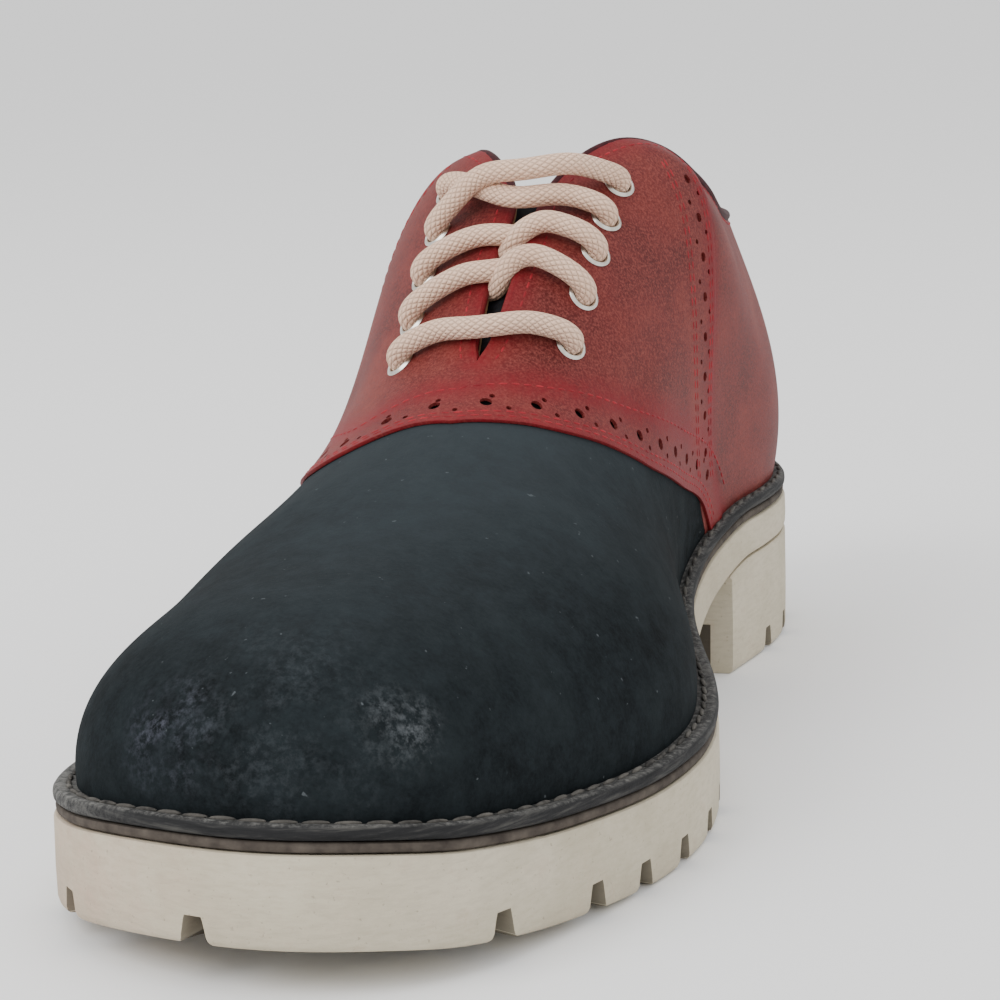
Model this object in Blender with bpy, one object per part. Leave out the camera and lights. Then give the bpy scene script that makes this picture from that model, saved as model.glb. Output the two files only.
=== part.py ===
"""A men's saddle shoe, right foot, as an assembly of separate solids.

Metres, +Z up. The toe points to -Y and the wearer's inner side is +X. The shoe stands on its sole
with the middle of its outline over the origin. Every form follows the last: its outline, a profile
of heights along its length, and a table of sections from the toe to the back of the heel.
"""
import math

import bmesh
import bpy
import numpy as np
from mathutils import Vector

# Sizes of the last and of the shoe's heights
LAST_LENGTH = 0.296
LAST_WIDTH = 0.103
TOE_SPRING = 0.0080
HEEL_LIFT = 0.0165
INSTEP_HEIGHT = 0.0870
COLLAR_REACH = 0.0310
HEEL_LENGTH = 0.0800

# Thicknesses and seats
SOLE_THICKNESS = 0.0162
MIDSOLE_THICKNESS = 0.0018
WELT_THICKNESS = 0.0026
WELT_EXTENSION = 0.0042
HEEL_EXTENSION = 0.0028
INSOLE_THICKNESS = 0.0056
UPPER_WALL = 0.0019
TONGUE_THICKNESS = 0.0020
TONGUE_HALF_WIDTH = 0.0200
CLEARANCE = 0.0003
TONGUE_CLEARANCE = 0.0011
EDGE_ROUND = 0.0012

# Slots and lugs of the sole, places measured along the sole's edge from the toe tip
SLOT_WIDTH = 0.0050
SLOT_HEIGHT = 0.0055
SLOT_DEPTH = 0.0150
SLOT_PITCH = 0.0165
CHANNEL_WIDTH = 0.0040
SLOT_OVERRUN = 0.0020
HEEL_FRONT = 0.0120

# Eyelets and lace
EYELET_ROWS = 5
EYELET_DIAMETER = 0.0070
EYELET_HOLE = 0.0042
EYELET_SHANK = 0.0050
EYELET_FLANGE = 0.0008
EYELET_SEAT = 0.0006
LACE_DIAMETER = 0.0046

# Shares of the last's length behind the toe tip
TONGUE_ALONG = (0.405, 0.590)
LUGS_ALONG = (0.130, 0.430)

# Shares of the foot line, from the toe tip to the back of the heel
SLIT_SHARE = 0.520
CHANNEL_END = 0.465
WAIST = (0.450, 0.700)
HEEL_SLOTS_END = 0.985

INNER, OUTER = 1, -1
SIDES = (INNER, OUTER)
SIDE_NAMES = {INNER: "inner", OUTER: "outer"}
FIRST_SLOTS = {INNER: (0.038, 0.064), OUTER: (0.012, 0.043)}

# Eyelet rows on each side: shares of the last's length, and the distance from the slit's edge
EYELET_ALONG = {INNER: (0.468, 0.584), OUTER: (0.458, 0.586)}
EYELET_FROM_SLIT = {INNER: 0.0178, OUTER: 0.0198}

STATIONS = 34
CROWDING = 0.35
RISES = 10
TONGUE_ROWS = 12
ROUND_SEGMENTS = 10
LACE_SEGMENTS = 8
TUBE_STEP = 0.55

# Outline of the last's bottom edge, round from the toe tip by the inner side.
# along: share of LAST_LENGTH behind the tip; across: share of LAST_WIDTH, inner side positive
OUTLINE = (
    (0.000, 0.045),
    (0.030, 0.236),
    (0.100, 0.352),
    (0.200, 0.445),
    (0.310, 0.490),
    (0.440, 0.425),
    (0.570, 0.305),
    (0.720, 0.290),
    (0.870, 0.325),
    (0.965, 0.215),
    (1.000, 0.000),
    (0.965, -0.215),
    (0.870, -0.325),
    (0.720, -0.345),
    (0.580, -0.410),
    (0.460, -0.470),
    (0.350, -0.493),
    (0.210, -0.466),
    (0.100, -0.412),
    (0.030, -0.254),
)
HEEL_ROW = 10

# Side profile of the sole.
# spring, lift and thick are shares of TOE_SPRING, HEEL_LIFT and SOLE_THICKNESS
PROFILE_COLUMNS = ("along", "spring", "lift", "thick")
PROFILE = (
    (-0.02, 1.00, 0.00, 1.00),
    (0.05, 0.60, 0.00, 1.00),
    (0.13, 0.24, 0.00, 1.00),
    (0.25, 0.00, 0.00, 1.00),
    (0.38, 0.00, 0.00, 1.00),
    (0.48, 0.00, 0.10, 0.94),
    (0.60, 0.00, 0.46, 0.72),
    (0.70, 0.00, 0.82, 0.56),
    (0.78, 0.00, 1.00, 0.50),
    (1.02, 0.00, 1.00, 0.50),
)

# Sections through the upper, from the toe to the back of the heel.
# foot: share of the foot line where the section starts
# along: share of LAST_LENGTH at which it meets the spine, the middle line over the foot
# height: top of the section over the sole, as a share of INSTEP_HEIGHT
# inner: how much higher the inner side's top is, as a share of INSTEP_HEIGHT
# reach: from the spine out to the section's top, as a share of COLLAR_REACH
# lean: slope of the section's top in degrees, 0 upright and 90 level
# flare_in, flare_out: how far each side leans out from the sole, in degrees
# low, high: fullness of the section near the sole and near its top
# cut: share of the way up the section where the leather ends, at the slit or at the collar
SECTION_COLUMNS = (
    "foot", "along", "height", "inner", "reach",
    "lean", "flare_in", "flare_out", "low", "high", "cut",
)
SECTIONS = (
    (0.000, 0.130, 0.398, 0.000, 0.000, 90, 4.0, 4.0, 0.42, 0.38, 1.00),
    (0.120, 0.152, 0.408, 0.000, 0.000, 90, 4.0, 4.0, 0.41, 0.38, 1.00),
    (0.240, 0.210, 0.446, 0.000, 0.000, 90, 4.0, 5.0, 0.39, 0.37, 1.00),
    (0.340, 0.290, 0.507, 0.000, 0.000, 90, 4.0, 8.0, 0.37, 0.36, 1.00),
    (0.430, 0.370, 0.576, 0.000, 0.000, 88, 3.0, 7.7, 0.35, 0.36, 1.00),
    (0.520, 0.450, 0.684, 0.000, 0.000, 87, 1.5, 8.0, 0.32, 0.38, 1.00),
    (0.580, 0.510, 0.801, 0.034, 0.045, 86, 1.1, 9.2, 0.33, 0.46, 1.00),
    (0.645, 0.575, 0.919, 0.008, 0.085, 85, 1.8, 11.0, 0.38, 0.57, 1.00),
    (0.705, 0.635, 1.014, 0.016, 0.132, 76, 3.6, 11.8, 0.39, 0.59, 0.92),
    (0.755, 0.690, 1.050, 0.032, 0.215, 56, 6.0, 11.8, 0.37, 0.51, 0.83),
    (0.810, 0.750, 1.070, 0.038, 0.375, 35, 9.0, 11.6, 0.34, 0.43, 0.73),
    (0.870, 0.805, 1.016, 0.030, 0.579, 21, 12.0, 12.0, 0.33, 0.37, 0.685),
    (0.940, 0.842, 0.990, 0.010, 0.829, 16, 14.0, 14.0, 0.33, 0.33, 0.69),
    (1.000, 0.850, 0.980, 0.000, 1.000, 14, 16.0, 16.0, 0.33, 0.33, 0.71),
)

# Side offset of the spine: along the last and across it, as shares of its length and its width
SPINE = ((0.00, 0.020), (0.25, 0.010), (0.45, 0.000), (0.65, -0.005), (0.85, 0.000), (1.00, 0.000))

# Places across the tongue, from its edge to beside the middle, as shares of its half width
TONGUE_STEPS = (1.00, 0.75, 0.50, 0.25, 0.06)

# Route of the lace from an eyelet to the slit.
# away: share of the way from the slit to the eyelet; lift: height over the eyelet in lace radii
# turn: share of the way from the eyelet's section to the section where the laces cross
LACE_RISE = ((1.00, 0.00, 0.00), (1.00, 0.60, 0.00), (0.93, 1.25, 0.04), (0.78, 1.10, 0.15))
LACE_OVER = ((0.50, 0.45), (0.10, 0.90))

# How far the lower laces climb from their own row to the slit, as a share of the row pitch
LACE_CLIMB = (0.00, 0.45, 0.45)

MATERIALS = {
    "cream_rubber": ((0.62, 0.57, 0.48), 0.75, 0.0),
    "taupe_rubber": ((0.16, 0.14, 0.14), 0.70, 0.0),
    "dark_welt": ((0.035, 0.037, 0.042), 0.60, 0.0),
    "tan_leather": ((0.30, 0.24, 0.18), 0.60, 0.0),
    "red_leather": ((0.17, 0.016, 0.018), 0.50, 0.0),
    "dark_textile": ((0.015, 0.015, 0.018), 0.90, 0.0),
    "nickel": ((0.72, 0.70, 0.66), 0.30, 1.0),
    "cream_cord": ((0.68, 0.60, 0.50), 0.90, 0.0),
}


def steady(knots, values, at):
    """Curve through the values at the knots that never overshoots them."""
    knots, values, at = (np.asarray(x, float) for x in (knots, values, at))
    gaps = np.diff(knots)
    rates = np.diff(values) / gaps
    slopes = np.zeros(len(knots))
    for i in range(1, len(knots) - 1):
        if rates[i - 1] * rates[i] > 0:
            before, after = 2 * gaps[i] + gaps[i - 1], gaps[i] + 2 * gaps[i - 1]
            slopes[i] = (before + after) / (before / rates[i - 1] + after / rates[i])
    k = np.clip(np.searchsorted(knots, at, side="right") - 1, 0, len(knots) - 2)
    b = (at - knots[k]) / gaps[k]
    a = 1 - b
    values_part = values[k] * (1 + 2 * b) * a**2 + values[k + 1] * b**2 * (3 - 2 * b)
    return values_part + gaps[k] * a * b * (slopes[k] * a - slopes[k + 1] * b)


def smooth(knots, values, at, level_start=False, level_end=False):
    """Curve with smooth curvature through the values at the knots, level at an end on demand."""
    knots, values, at = (np.asarray(x, float) for x in (knots, values, at))
    gaps = np.diff(knots)
    count = len(knots)
    system, right = np.eye(count), np.zeros(values.shape)
    rates = np.diff(values, axis=0) / (gaps if values.ndim == 1 else gaps[:, None])
    for i in range(1, count - 1):
        system[i, i - 1 : i + 2] = gaps[i - 1], 2 * (gaps[i - 1] + gaps[i]), gaps[i]
        right[i] = 6 * (rates[i] - rates[i - 1])
    if level_start:
        system[0, :2] = 2 * gaps[0], gaps[0]
        right[0] = 6 * rates[0]
    if level_end:
        system[-1, -2:] = gaps[-1], 2 * gaps[-1]
        right[-1] = -6 * rates[-1]
    bend = np.linalg.solve(system, right)
    k = np.clip(np.searchsorted(knots, at, side="right") - 1, 0, count - 2)
    gap = gaps[k]
    b = (at - knots[k]) / gap
    if values.ndim > 1:
        gap, b = gap[..., None], b[..., None]
    a = 1 - b
    curved = (a**3 - a) * bend[k] + (b**3 - b) * bend[k + 1]
    return a * values[k] + b * values[k + 1] + curved * gap**2 / 6


def make_foot_lines(per_row=60, wrap=4):
    """Both halves of the outline as dense lines: side to (share of its run, points, its run)."""
    points = np.array([(across * LAST_WIDTH, along * LAST_LENGTH) for along, across in OUTLINE])
    ring = np.concatenate([points[-wrap:], points, points[: wrap + 1]])
    steps = np.linalg.norm(np.diff(ring, axis=0), axis=1) ** 0.75
    knots = np.concatenate([[0], np.cumsum(steps)])
    rows = range(wrap, wrap + len(points))
    at = np.concatenate([np.linspace(knots[i], knots[i + 1], per_row, endpoint=False) for i in rows])
    line = smooth(knots, ring, at)
    line = np.concatenate([line, line[:1]])
    heel = HEEL_ROW * per_row
    halves = {INNER: line[: heel + 1], OUTER: line[heel:][::-1]}
    lines = {}
    for side, half in halves.items():
        run = np.concatenate([[0], np.cumsum(np.linalg.norm(np.diff(half, axis=0), axis=1))])
        lines[side] = (run / run[-1], half, run[-1])
    return lines


FOOT_LINES = make_foot_lines()


def foot(side, share):
    """Point of the foot line in plan, and the direction out of the shoe there."""
    shares, line, _ = FOOT_LINES[side]

    def at(s):
        return np.stack([np.interp(s, shares, line[:, k]) for k in (0, 1)], axis=-1)

    share = np.asarray(share, float)
    step = 0.002
    ahead = at(np.clip(share + step, 0, 1)) - at(np.clip(share - step, 0, 1))
    ahead /= np.linalg.norm(ahead, axis=-1, keepdims=True)
    out = np.stack([ahead[..., 1], -ahead[..., 0]], axis=-1) * side
    # the tip and the back of the heel point straight ahead and straight back
    end = (np.asarray(share) <= 0) | (np.asarray(share) >= 1)
    straight = np.stack([np.zeros_like(share), np.where(share >= 0.5, 1.0, -1.0)], axis=-1)
    return at(share), np.where(end[..., None], straight, out)


def profile(column, along):
    rows = np.array(PROFILE)
    return steady(rows[:, 0], rows[:, PROFILE_COLUMNS.index(column)], along)


def sole_top(y):
    along = np.asarray(y) / LAST_LENGTH
    return SOLE_THICKNESS + TOE_SPRING * profile("spring", along) + HEEL_LIFT * profile("lift", along)


def sole_under(y):
    return sole_top(y) - SOLE_THICKNESS * profile("thick", np.asarray(y) / LAST_LENGTH)


def midsole_bottom(y):
    return sole_top(y) + CLEARANCE


def midsole_top(y):
    return midsole_bottom(y) + MIDSOLE_THICKNESS


def welt_bottom(y):
    return midsole_top(y) + CLEARANCE


def welt_top(y):
    return welt_bottom(y) + WELT_THICKNESS


def upper_bottom(y):
    return welt_top(y) + CLEARANCE


def section(column, share):
    rows = np.array(SECTIONS, float)
    knots, values = rows[:, 0], rows[:, SECTION_COLUMNS.index(column)]
    if column in ("reach", "inner", "cut"):
        return steady(knots, values, share)
    return smooth(knots, values, share, level_start=column != "along", level_end=True)


def spine(share):
    """Point over the middle of the foot that the section at a share of the foot line rises to."""
    along = section("along", share)
    rows = np.array(SPINE)
    x = smooth(rows[:, 0], rows[:, 1], along) * LAST_WIDTH
    y = along * LAST_LENGTH
    z = upper_bottom(y) + section("height", share) * INSTEP_HEIGHT
    return np.stack([x, y, z], axis=-1)


def spine_slope(share):
    """Rise of the spine per length, which a section's top follows where it crosses the middle."""
    step = 0.004
    low, high = spine(np.clip(share - step, 0, 1)), spine(np.clip(share + step, 0, 1))
    run = np.maximum(high[..., 1] - low[..., 1], 0.0001)
    return np.clip((high[..., 2] - low[..., 2]) / run, -0.2, 0.6)


def upper_point(side, share, rise):
    """Outside of the upper; rise goes from 0 at the sole to 1 at the edge of the leather."""
    share, rise = np.broadcast_arrays(np.asarray(share, float), np.asarray(rise, float))
    rise = rise * section("cut", share)
    base, out = foot(side, share)
    middle = spine(share)
    away = base - middle[..., :2]
    away /= np.linalg.norm(away, axis=-1, keepdims=True)
    reach = section("reach", share) * COLLAR_REACH
    lift = section("inner", share) * INSTEP_HEIGHT * (side == INNER)
    beside = middle[..., :2] + away * reach[..., None]
    top = np.concatenate([beside, (middle[..., 2] + lift)[..., None]], axis=-1)
    bottom = np.concatenate([base, upper_bottom(base[..., 1])[..., None]], axis=-1)

    flare = np.radians(section("flare_in" if side == INNER else "flare_out", share))
    lean = np.radians(section("lean", share))
    start = np.concatenate([out * np.sin(flare)[..., None], np.cos(flare)[..., None]], axis=-1)
    over_ridge = np.clip((np.degrees(lean) - 20) / 20, 0, 1)
    climb = np.cos(lean) - away[..., 1] * spine_slope(share) * np.sin(lean) * over_ridge
    end = np.concatenate([-away * np.sin(lean)[..., None], climb[..., None]], axis=-1)

    chord = np.linalg.norm(top - bottom, axis=-1)
    low = bottom + start * (section("low", share) * chord)[..., None]
    high = top - end * (section("high", share) * chord)[..., None]
    b = rise[..., None]
    a = 1 - b
    return bottom * a**3 + 3 * low * b * a**2 + 3 * high * b**2 * a + top * b**3


def upper_frame(side, share, rise):
    """Point on the outside of the upper and its outward normal there."""
    step = 0.004
    point = upper_point(side, share, rise)
    along = upper_point(side, share + step, rise) - upper_point(side, share - step, rise)
    up = upper_point(side, share, min(rise + step, 1)) - upper_point(side, share, max(rise - step, 0))
    normal = np.cross(along, up) * side
    return point, normal / np.linalg.norm(normal)


def share_at_spine(along):
    """Share of the foot line whose section meets the spine at a share of the last's length."""
    shares = np.linspace(0.1, 0.95, 400)
    return float(np.interp(along, section("along", shares), shares))


def rise_from_top(side, share, distance):
    """Rise of the place that lies a distance down the section from its top edge."""
    rises = np.linspace(1, 0.2, 120)
    line = upper_point(side, np.full(rises.shape, share), rises)
    run = np.concatenate([[0], np.cumsum(np.linalg.norm(np.diff(line, axis=0), axis=1))])
    return float(np.interp(distance, run, rises))


def beside_slit(side, share, distance, lift):
    """Point beside the slit, a distance from its edge and lifted off the leather."""
    point, normal = upper_frame(side, share, rise_from_top(side, share, distance))
    return point + normal * lift


def station_shares(first=0.0, last=1.0, count=STATIONS):
    """Shares of the foot line for the sections, closer together round the toe and the heel."""
    u = np.linspace(first, last, count + 1)
    shares = u - CROWDING * np.sin(2 * math.pi * u) / (2 * math.pi)
    shares[0], shares[-1] = first, last
    return shares


def extension(share):
    """How far the sole stands out past the upper, less at the waist and the heel than in front."""
    back = np.clip((np.asarray(share) - WAIST[0]) / (WAIST[1] - WAIST[0]), 0, 1)
    back = back * back * (3 - 2 * back)
    return WELT_EXTENSION + (HEEL_EXTENSION - WELT_EXTENSION) * back


def rim(side, shares, growth, height):
    """Line beside the foot line, grown outwards, at a height that follows the length of the shoe."""
    points, out = foot(side, shares)
    grown = points + out * np.broadcast_to(growth, np.shape(shares))[..., None]
    return np.concatenate([grown, height(grown[..., 1])[..., None]], axis=-1)


def add_material(obj, name):
    colour, roughness, metallic = MATERIALS[name]
    material = bpy.data.materials.get(name) or bpy.data.materials.new(name)
    material.use_nodes = True
    shader = material.node_tree.nodes["Principled BSDF"]
    shader.inputs["Base Color"].default_value = (*colour, 1)
    shader.inputs["Roughness"].default_value = roughness
    shader.inputs["Metallic"].default_value = metallic
    obj.data.materials.append(material)


def add_object(name, bm, parent, material):
    """Object from a bmesh whose closed bodies are turned to face out."""
    bmesh.ops.recalc_face_normals(bm, faces=bm.faces)
    mesh = bpy.data.meshes.new(name)
    bm.to_mesh(mesh)
    bm.free()
    obj = bpy.data.objects.new(name, mesh)
    bpy.context.scene.collection.objects.link(obj)
    obj.parent = parent
    add_material(obj, material)
    return obj


def add_sheet(name, bm, parent, material, thickness):
    """Object from an open sheet facing up and out, given its thickness on the inside."""
    sheet = add_object(name, bm, parent, material)
    mesh = sheet.data
    if sum(face.normal.z * face.area for face in mesh.polygons) < 0:
        mesh.flip_normals()
    wall = sheet.modifiers.new("wall", "SOLIDIFY")
    wall.thickness = thickness
    wall.offset = -1
    wall.use_even_offset = True
    wall.use_quality_normals = True
    return sheet


def add_cutter(target, name, bm, parent, operation="DIFFERENCE"):
    """Hidden shape that a Boolean modifier takes out of the target, or joins to it."""
    cutter = add_object(name, bm, parent, "dark_textile")
    cutter.hide_render = True
    cutter.display_type = "WIRE"
    cutter.hide_viewport = False
    modifier = target.modifiers.new(name, "BOOLEAN")
    modifier.operation = operation
    modifier.solver = "EXACT"
    modifier.object = cutter
    return cutter


def add_grid(bm, points, close_rows=False):
    """Faces over a grid of points; the grid's rows may close on themselves."""
    verts = [[bm.verts.new(p) for p in row] for row in points]
    rows = list(zip(verts, verts[1:] + verts[:1] if close_rows else verts[1:]))
    for row, following in rows:
        for k in range(len(row) - 1):
            bm.faces.new((row[k], row[k + 1], following[k + 1], following[k]))
    return verts


def plate(levels, shares):
    """Closed plate over a stretch of the foot line; levels give (growth, height), bottom first."""
    bm = bmesh.new()
    layers = []
    for growth, height in levels:
        inner = rim(INNER, shares, growth, height)
        outer = rim(OUTER, shares, growth, height)
        inner_verts = [bm.verts.new(p) for p in inner]
        outer_verts = [bm.verts.new(p) for p in outer]
        for end, share in ((0, shares[0]), (-1, shares[-1])):
            if share in (0.0, 1.0):
                bm.verts.remove(outer_verts[end])
                outer_verts[end] = inner_verts[end]
        layers.append((inner_verts, outer_verts))

    def quad(*corners):
        corners = list(dict.fromkeys(corners))
        if len(corners) > 2:
            bm.faces.new(corners)

    for inner, outer in (layers[0], layers[-1]):
        for k in range(len(shares) - 1):
            quad(inner[k], inner[k + 1], outer[k + 1], outer[k])
    for (inner_a, outer_a), (inner_b, outer_b) in zip(layers, layers[1:]):
        for low, high in ((inner_a, inner_b), (outer_a, outer_b)):
            for k in range(len(shares) - 1):
                quad(low[k], low[k + 1], high[k + 1], high[k])
        for end in (0, -1):
            if inner_a[end] is not outer_a[end]:
                quad(inner_a[end], outer_a[end], outer_b[end], inner_b[end])
    return bm


def band(corners, shares, open_ends=False):
    """Closed band along the edge of the sole; corners give its cross-section as (growth, height)."""
    bm = bmesh.new()
    around = []
    for growth, height in corners:
        inner = rim(INNER, shares, growth, height)
        outer = rim(OUTER, shares, growth, height)
        line = np.concatenate([outer[::-1], inner[1:]] if open_ends else [outer[:0:-1], inner[:-1]])
        around.append(line)
    sections = [[bm.verts.new(line[k]) for line in around] for k in range(len(around[0]))]
    following = sections[1:] if open_ends else sections[1:] + sections[:1]
    for row, after in zip(sections, following):
        for k in range(len(row)):
            m = (k + 1) % len(row)
            bm.faces.new((row[k], row[m], after[m], after[k]))
    if open_ends:
        bm.faces.new(sections[0])
        bm.faces.new(sections[-1])
    return bm


def add_box(bm, centre, out, width, depth, bottom, top):
    """Box standing at a place in plan, its depth running along a direction."""
    out = Vector((out[0], out[1], 0)).normalized()
    side = Vector((-out.y, out.x, 0))
    corners = []
    for height in (bottom, top):
        for a, b in ((-1, -1), (1, -1), (1, 1), (-1, 1)):
            place = Vector((centre[0], centre[1], 0)) + out * (depth / 2 * a) + side * (width / 2 * b)
            corners.append(bm.verts.new((place.x, place.y, height)))
    low, high = corners[:4], corners[4:]
    bm.faces.new(low)
    bm.faces.new(high)
    for k in range(4):
        m = (k + 1) % 4
        bm.faces.new((low[k], low[m], high[m], high[k]))


def slot_shares(side, first_along, last_along):
    """Shares of the foot line for the slots of one side, between two shares of the last's length."""
    shares, line, run = FOOT_LINES[side]
    places = list(FIRST_SLOTS[side])
    while places[-1] + SLOT_PITCH < run:
        places.append(places[-1] + SLOT_PITCH)
    found = [place / run for place in places]
    along = [float(np.interp(share, shares, line[:, 1])) / LAST_LENGTH for share in found]
    return [share for share, a in zip(found, along) if first_along <= a <= last_along]


def add_slots(bm, first_along, last_along, under):
    """Slots cut in from the sole's edge on both sides."""
    for side in SIDES:
        for share in slot_shares(side, first_along, last_along):
            point, out = foot(side, share)
            edge = float(extension(share))
            middle = point + out * (edge + SLOT_OVERRUN - (SLOT_DEPTH + SLOT_OVERRUN) / 2)
            ground = float(under(point[1]))
            depth = SLOT_DEPTH + SLOT_OVERRUN
            add_box(bm, middle, out, SLOT_WIDTH, depth, ground - SLOT_OVERRUN, ground + SLOT_HEIGHT)


def add_cross_grooves(bm, first_along, last_along, under):
    """Grooves across the middle of the sole, from channel to channel."""
    inset = SLOT_DEPTH + CHANNEL_WIDTH / 2
    count = int((last_along - first_along) * LAST_LENGTH / SLOT_PITCH)
    for k in range(count + 1):
        y = first_along * LAST_LENGTH + k * SLOT_PITCH
        ends = {}
        for side in SIDES:
            shares, line, _ = FOOT_LINES[side]
            share = float(np.interp(y, line[:, 1], shares))
            ends[side] = side * (side * float(foot(side, share)[0][0]) + float(extension(share)) - inset)
        width = ends[INNER] - ends[OUTER]
        middle = ((ends[INNER] + ends[OUTER]) / 2, y)
        ground = float(under(y))
        add_box(bm, middle, (1, 0), SLOT_WIDTH, width, ground - SLOT_OVERRUN, ground + SLOT_HEIGHT)


def add_outsole(parent):
    shares = station_shares()
    edge = extension(shares)
    levels = [
        (edge - EDGE_ROUND, sole_under),
        (edge, lambda y: sole_under(y) + EDGE_ROUND),
        (edge, sole_top),
    ]
    sole = add_object("outsole", plate(levels, shares), parent, "cream_rubber")

    slots = bmesh.new()
    add_slots(slots, 0.0, LUGS_ALONG[1], sole_under)
    add_cutter(sole, "outsole_slots", slots, parent)

    grooves = bmesh.new()
    add_cross_grooves(grooves, *LUGS_ALONG, sole_under)
    add_cutter(sole, "outsole_grooves", grooves, parent)

    front = station_shares(0.0, CHANNEL_END, STATIONS // 2)
    outside = extension(front) - SLOT_DEPTH
    corners = [
        (outside, lambda y: sole_under(y) - SLOT_OVERRUN),
        (outside, lambda y: sole_under(y) + SLOT_HEIGHT),
        (outside - CHANNEL_WIDTH, lambda y: sole_under(y) + SLOT_HEIGHT),
        (outside - CHANNEL_WIDTH, lambda y: sole_under(y) - SLOT_OVERRUN),
    ]
    add_cutter(sole, "outsole_channel", band(corners, front, open_ends=True), parent)
    return sole


def heel_start():
    """Share of the foot line at which the heel block begins."""
    shares, line, _ = FOOT_LINES[INNER]
    return float(np.interp(LAST_LENGTH - HEEL_LENGTH, line[:, 1], shares))


def add_heel(parent):
    first = heel_start()
    shares = station_shares()
    shares = np.concatenate([[first], shares[shares > first + 0.005]])
    edge = extension(shares)

    def floor(y):
        return np.zeros_like(y)

    levels = [
        (edge - EDGE_ROUND, floor),
        (edge, lambda y: floor(y) + EDGE_ROUND),
        (edge, lambda y: sole_under(y) - CLEARANCE),
    ]
    heel = add_object("heel", plate(levels, shares), parent, "cream_rubber")
    slots = bmesh.new()
    add_slots(slots, 1 - (HEEL_LENGTH - HEEL_FRONT) / LAST_LENGTH, HEEL_SLOTS_END, floor)
    add_cutter(heel, "heel_slots", slots, parent)
    return heel


def add_midsole(parent):
    shares = station_shares()
    edge = extension(shares)
    levels = [(edge, midsole_bottom), (edge, midsole_top)]
    return add_object("midsole", plate(levels, shares), parent, "taupe_rubber")


def add_welt(parent):
    shares = station_shares()
    edge = extension(shares)
    inside = -(UPPER_WALL + 2 * CLEARANCE) * np.ones_like(edge)
    corners = [(edge, welt_bottom), (edge, welt_top), (inside, welt_top), (inside, welt_bottom)]
    return add_object("welt", band(corners, shares), parent, "dark_welt")


def add_insole(parent):
    shares = station_shares()
    edge = -(UPPER_WALL + 3.5 * CLEARANCE) * np.ones_like(shares)
    levels = [(edge, welt_bottom), (edge, lambda y: welt_bottom(y) + INSOLE_THICKNESS)]
    return add_object("insole", plate(levels, shares), parent, "tan_leather")


def eyelet_places():
    """Places of the eyelets on the leather: (side, row) to (point, normal, share of the foot line)."""
    places = {}
    for side in SIDES:
        for row, along in enumerate(np.linspace(*EYELET_ALONG[side], EYELET_ROWS)):
            share = share_at_spine(along)
            rise = rise_from_top(side, share, EYELET_FROM_SLIT[side])
            point, normal = upper_frame(side, share, rise)
            places[side, row] = (point, normal, share)
    return places


def add_turned(bm, point, normal, outline, segments=ROUND_SEGMENTS):
    """Ring turned about the normal at a point; outline gives its cross-section as (radius, height)."""
    turn = Vector((0, 0, 1)).rotation_difference(Vector(normal))
    rows = []
    for k in range(segments):
        angle = 2 * math.pi * k / segments
        row = []
        for radius, height in outline:
            spoke = Vector((radius * math.cos(angle), radius * math.sin(angle), height))
            row.append(turn @ spoke + Vector(point))
        rows.append(row + row[:1])
    verts = add_grid(bm, rows, close_rows=True)
    bmesh.ops.remove_doubles(bm, verts=[v for row in verts for v in row], dist=0.000001)


def add_upper(parent):
    """Hollow upper: open at the collar, down the slit and underneath."""
    shares = station_shares()
    shares[np.argmin(np.abs(shares - SLIT_SHARE))] = SLIT_SHARE
    rises = np.linspace(0, 1, RISES + 1)
    bm = bmesh.new()
    for side in SIDES:
        points = upper_point(side, shares[:, None], rises[None, :])
        add_grid(bm, points if side == INNER else points[::-1])
    bmesh.ops.remove_doubles(bm, verts=bm.verts, dist=0.00002)
    upper = add_sheet("upper", bm, parent, "red_leather", UPPER_WALL)

    holes = bmesh.new()
    radius = EYELET_SHANK / 2 + CLEARANCE
    reach = 3 * UPPER_WALL
    for point, normal, _ in eyelet_places().values():
        turn = Vector((0, 0, 1)).rotation_difference(Vector(normal)).to_matrix().to_4x4()
        turn.translation = Vector(point)
        bmesh.ops.create_cone(holes, cap_ends=True, segments=ROUND_SEGMENTS, radius1=radius,
                              radius2=radius, depth=2 * reach, matrix=turn)
    add_cutter(upper, "eyelet_holes", holes, parent)
    return upper


def add_eyelets(parent):
    seat = EYELET_SEAT
    outline = (
        (EYELET_HOLE / 2, -UPPER_WALL - CLEARANCE),
        (EYELET_SHANK / 2, -UPPER_WALL - CLEARANCE),
        (EYELET_SHANK / 2, seat),
        (EYELET_DIAMETER / 2, seat),
        (EYELET_DIAMETER / 2 - EYELET_FLANGE, seat + EYELET_FLANGE),
        (EYELET_HOLE / 2, seat + EYELET_FLANGE),
    )
    for (side, row), (point, normal, _) in eyelet_places().items():
        bm = bmesh.new()
        add_turned(bm, point, normal, outline)
        add_object(f"eyelet_{SIDE_NAMES[side]}_{row + 1}", bm, parent, "nickel")


def add_tongue(parent):
    """Tongue under the facings and the slit, following the inside of the upper."""
    shares = [share_at_spine(along) for along in np.linspace(*TONGUE_ALONG, TONGUE_ROWS)]
    drop = -(UPPER_WALL + TONGUE_CLEARANCE)
    rows = []
    for share in shares:
        half_width = TONGUE_HALF_WIDTH - float(section("reach", share)) * COLLAR_REACH
        distances = half_width * np.array(TONGUE_STEPS)
        inner = [beside_slit(INNER, share, d, drop) for d in distances]
        outer = [beside_slit(OUTER, share, d, drop) for d in distances]
        middle = (inner[-1] + outer[-1]) / 2
        rows.append(outer + [middle] + inner[::-1])
    bm = bmesh.new()
    add_grid(bm, rows)
    return add_sheet("tongue", bm, parent, "dark_textile", TONGUE_THICKNESS)


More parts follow.
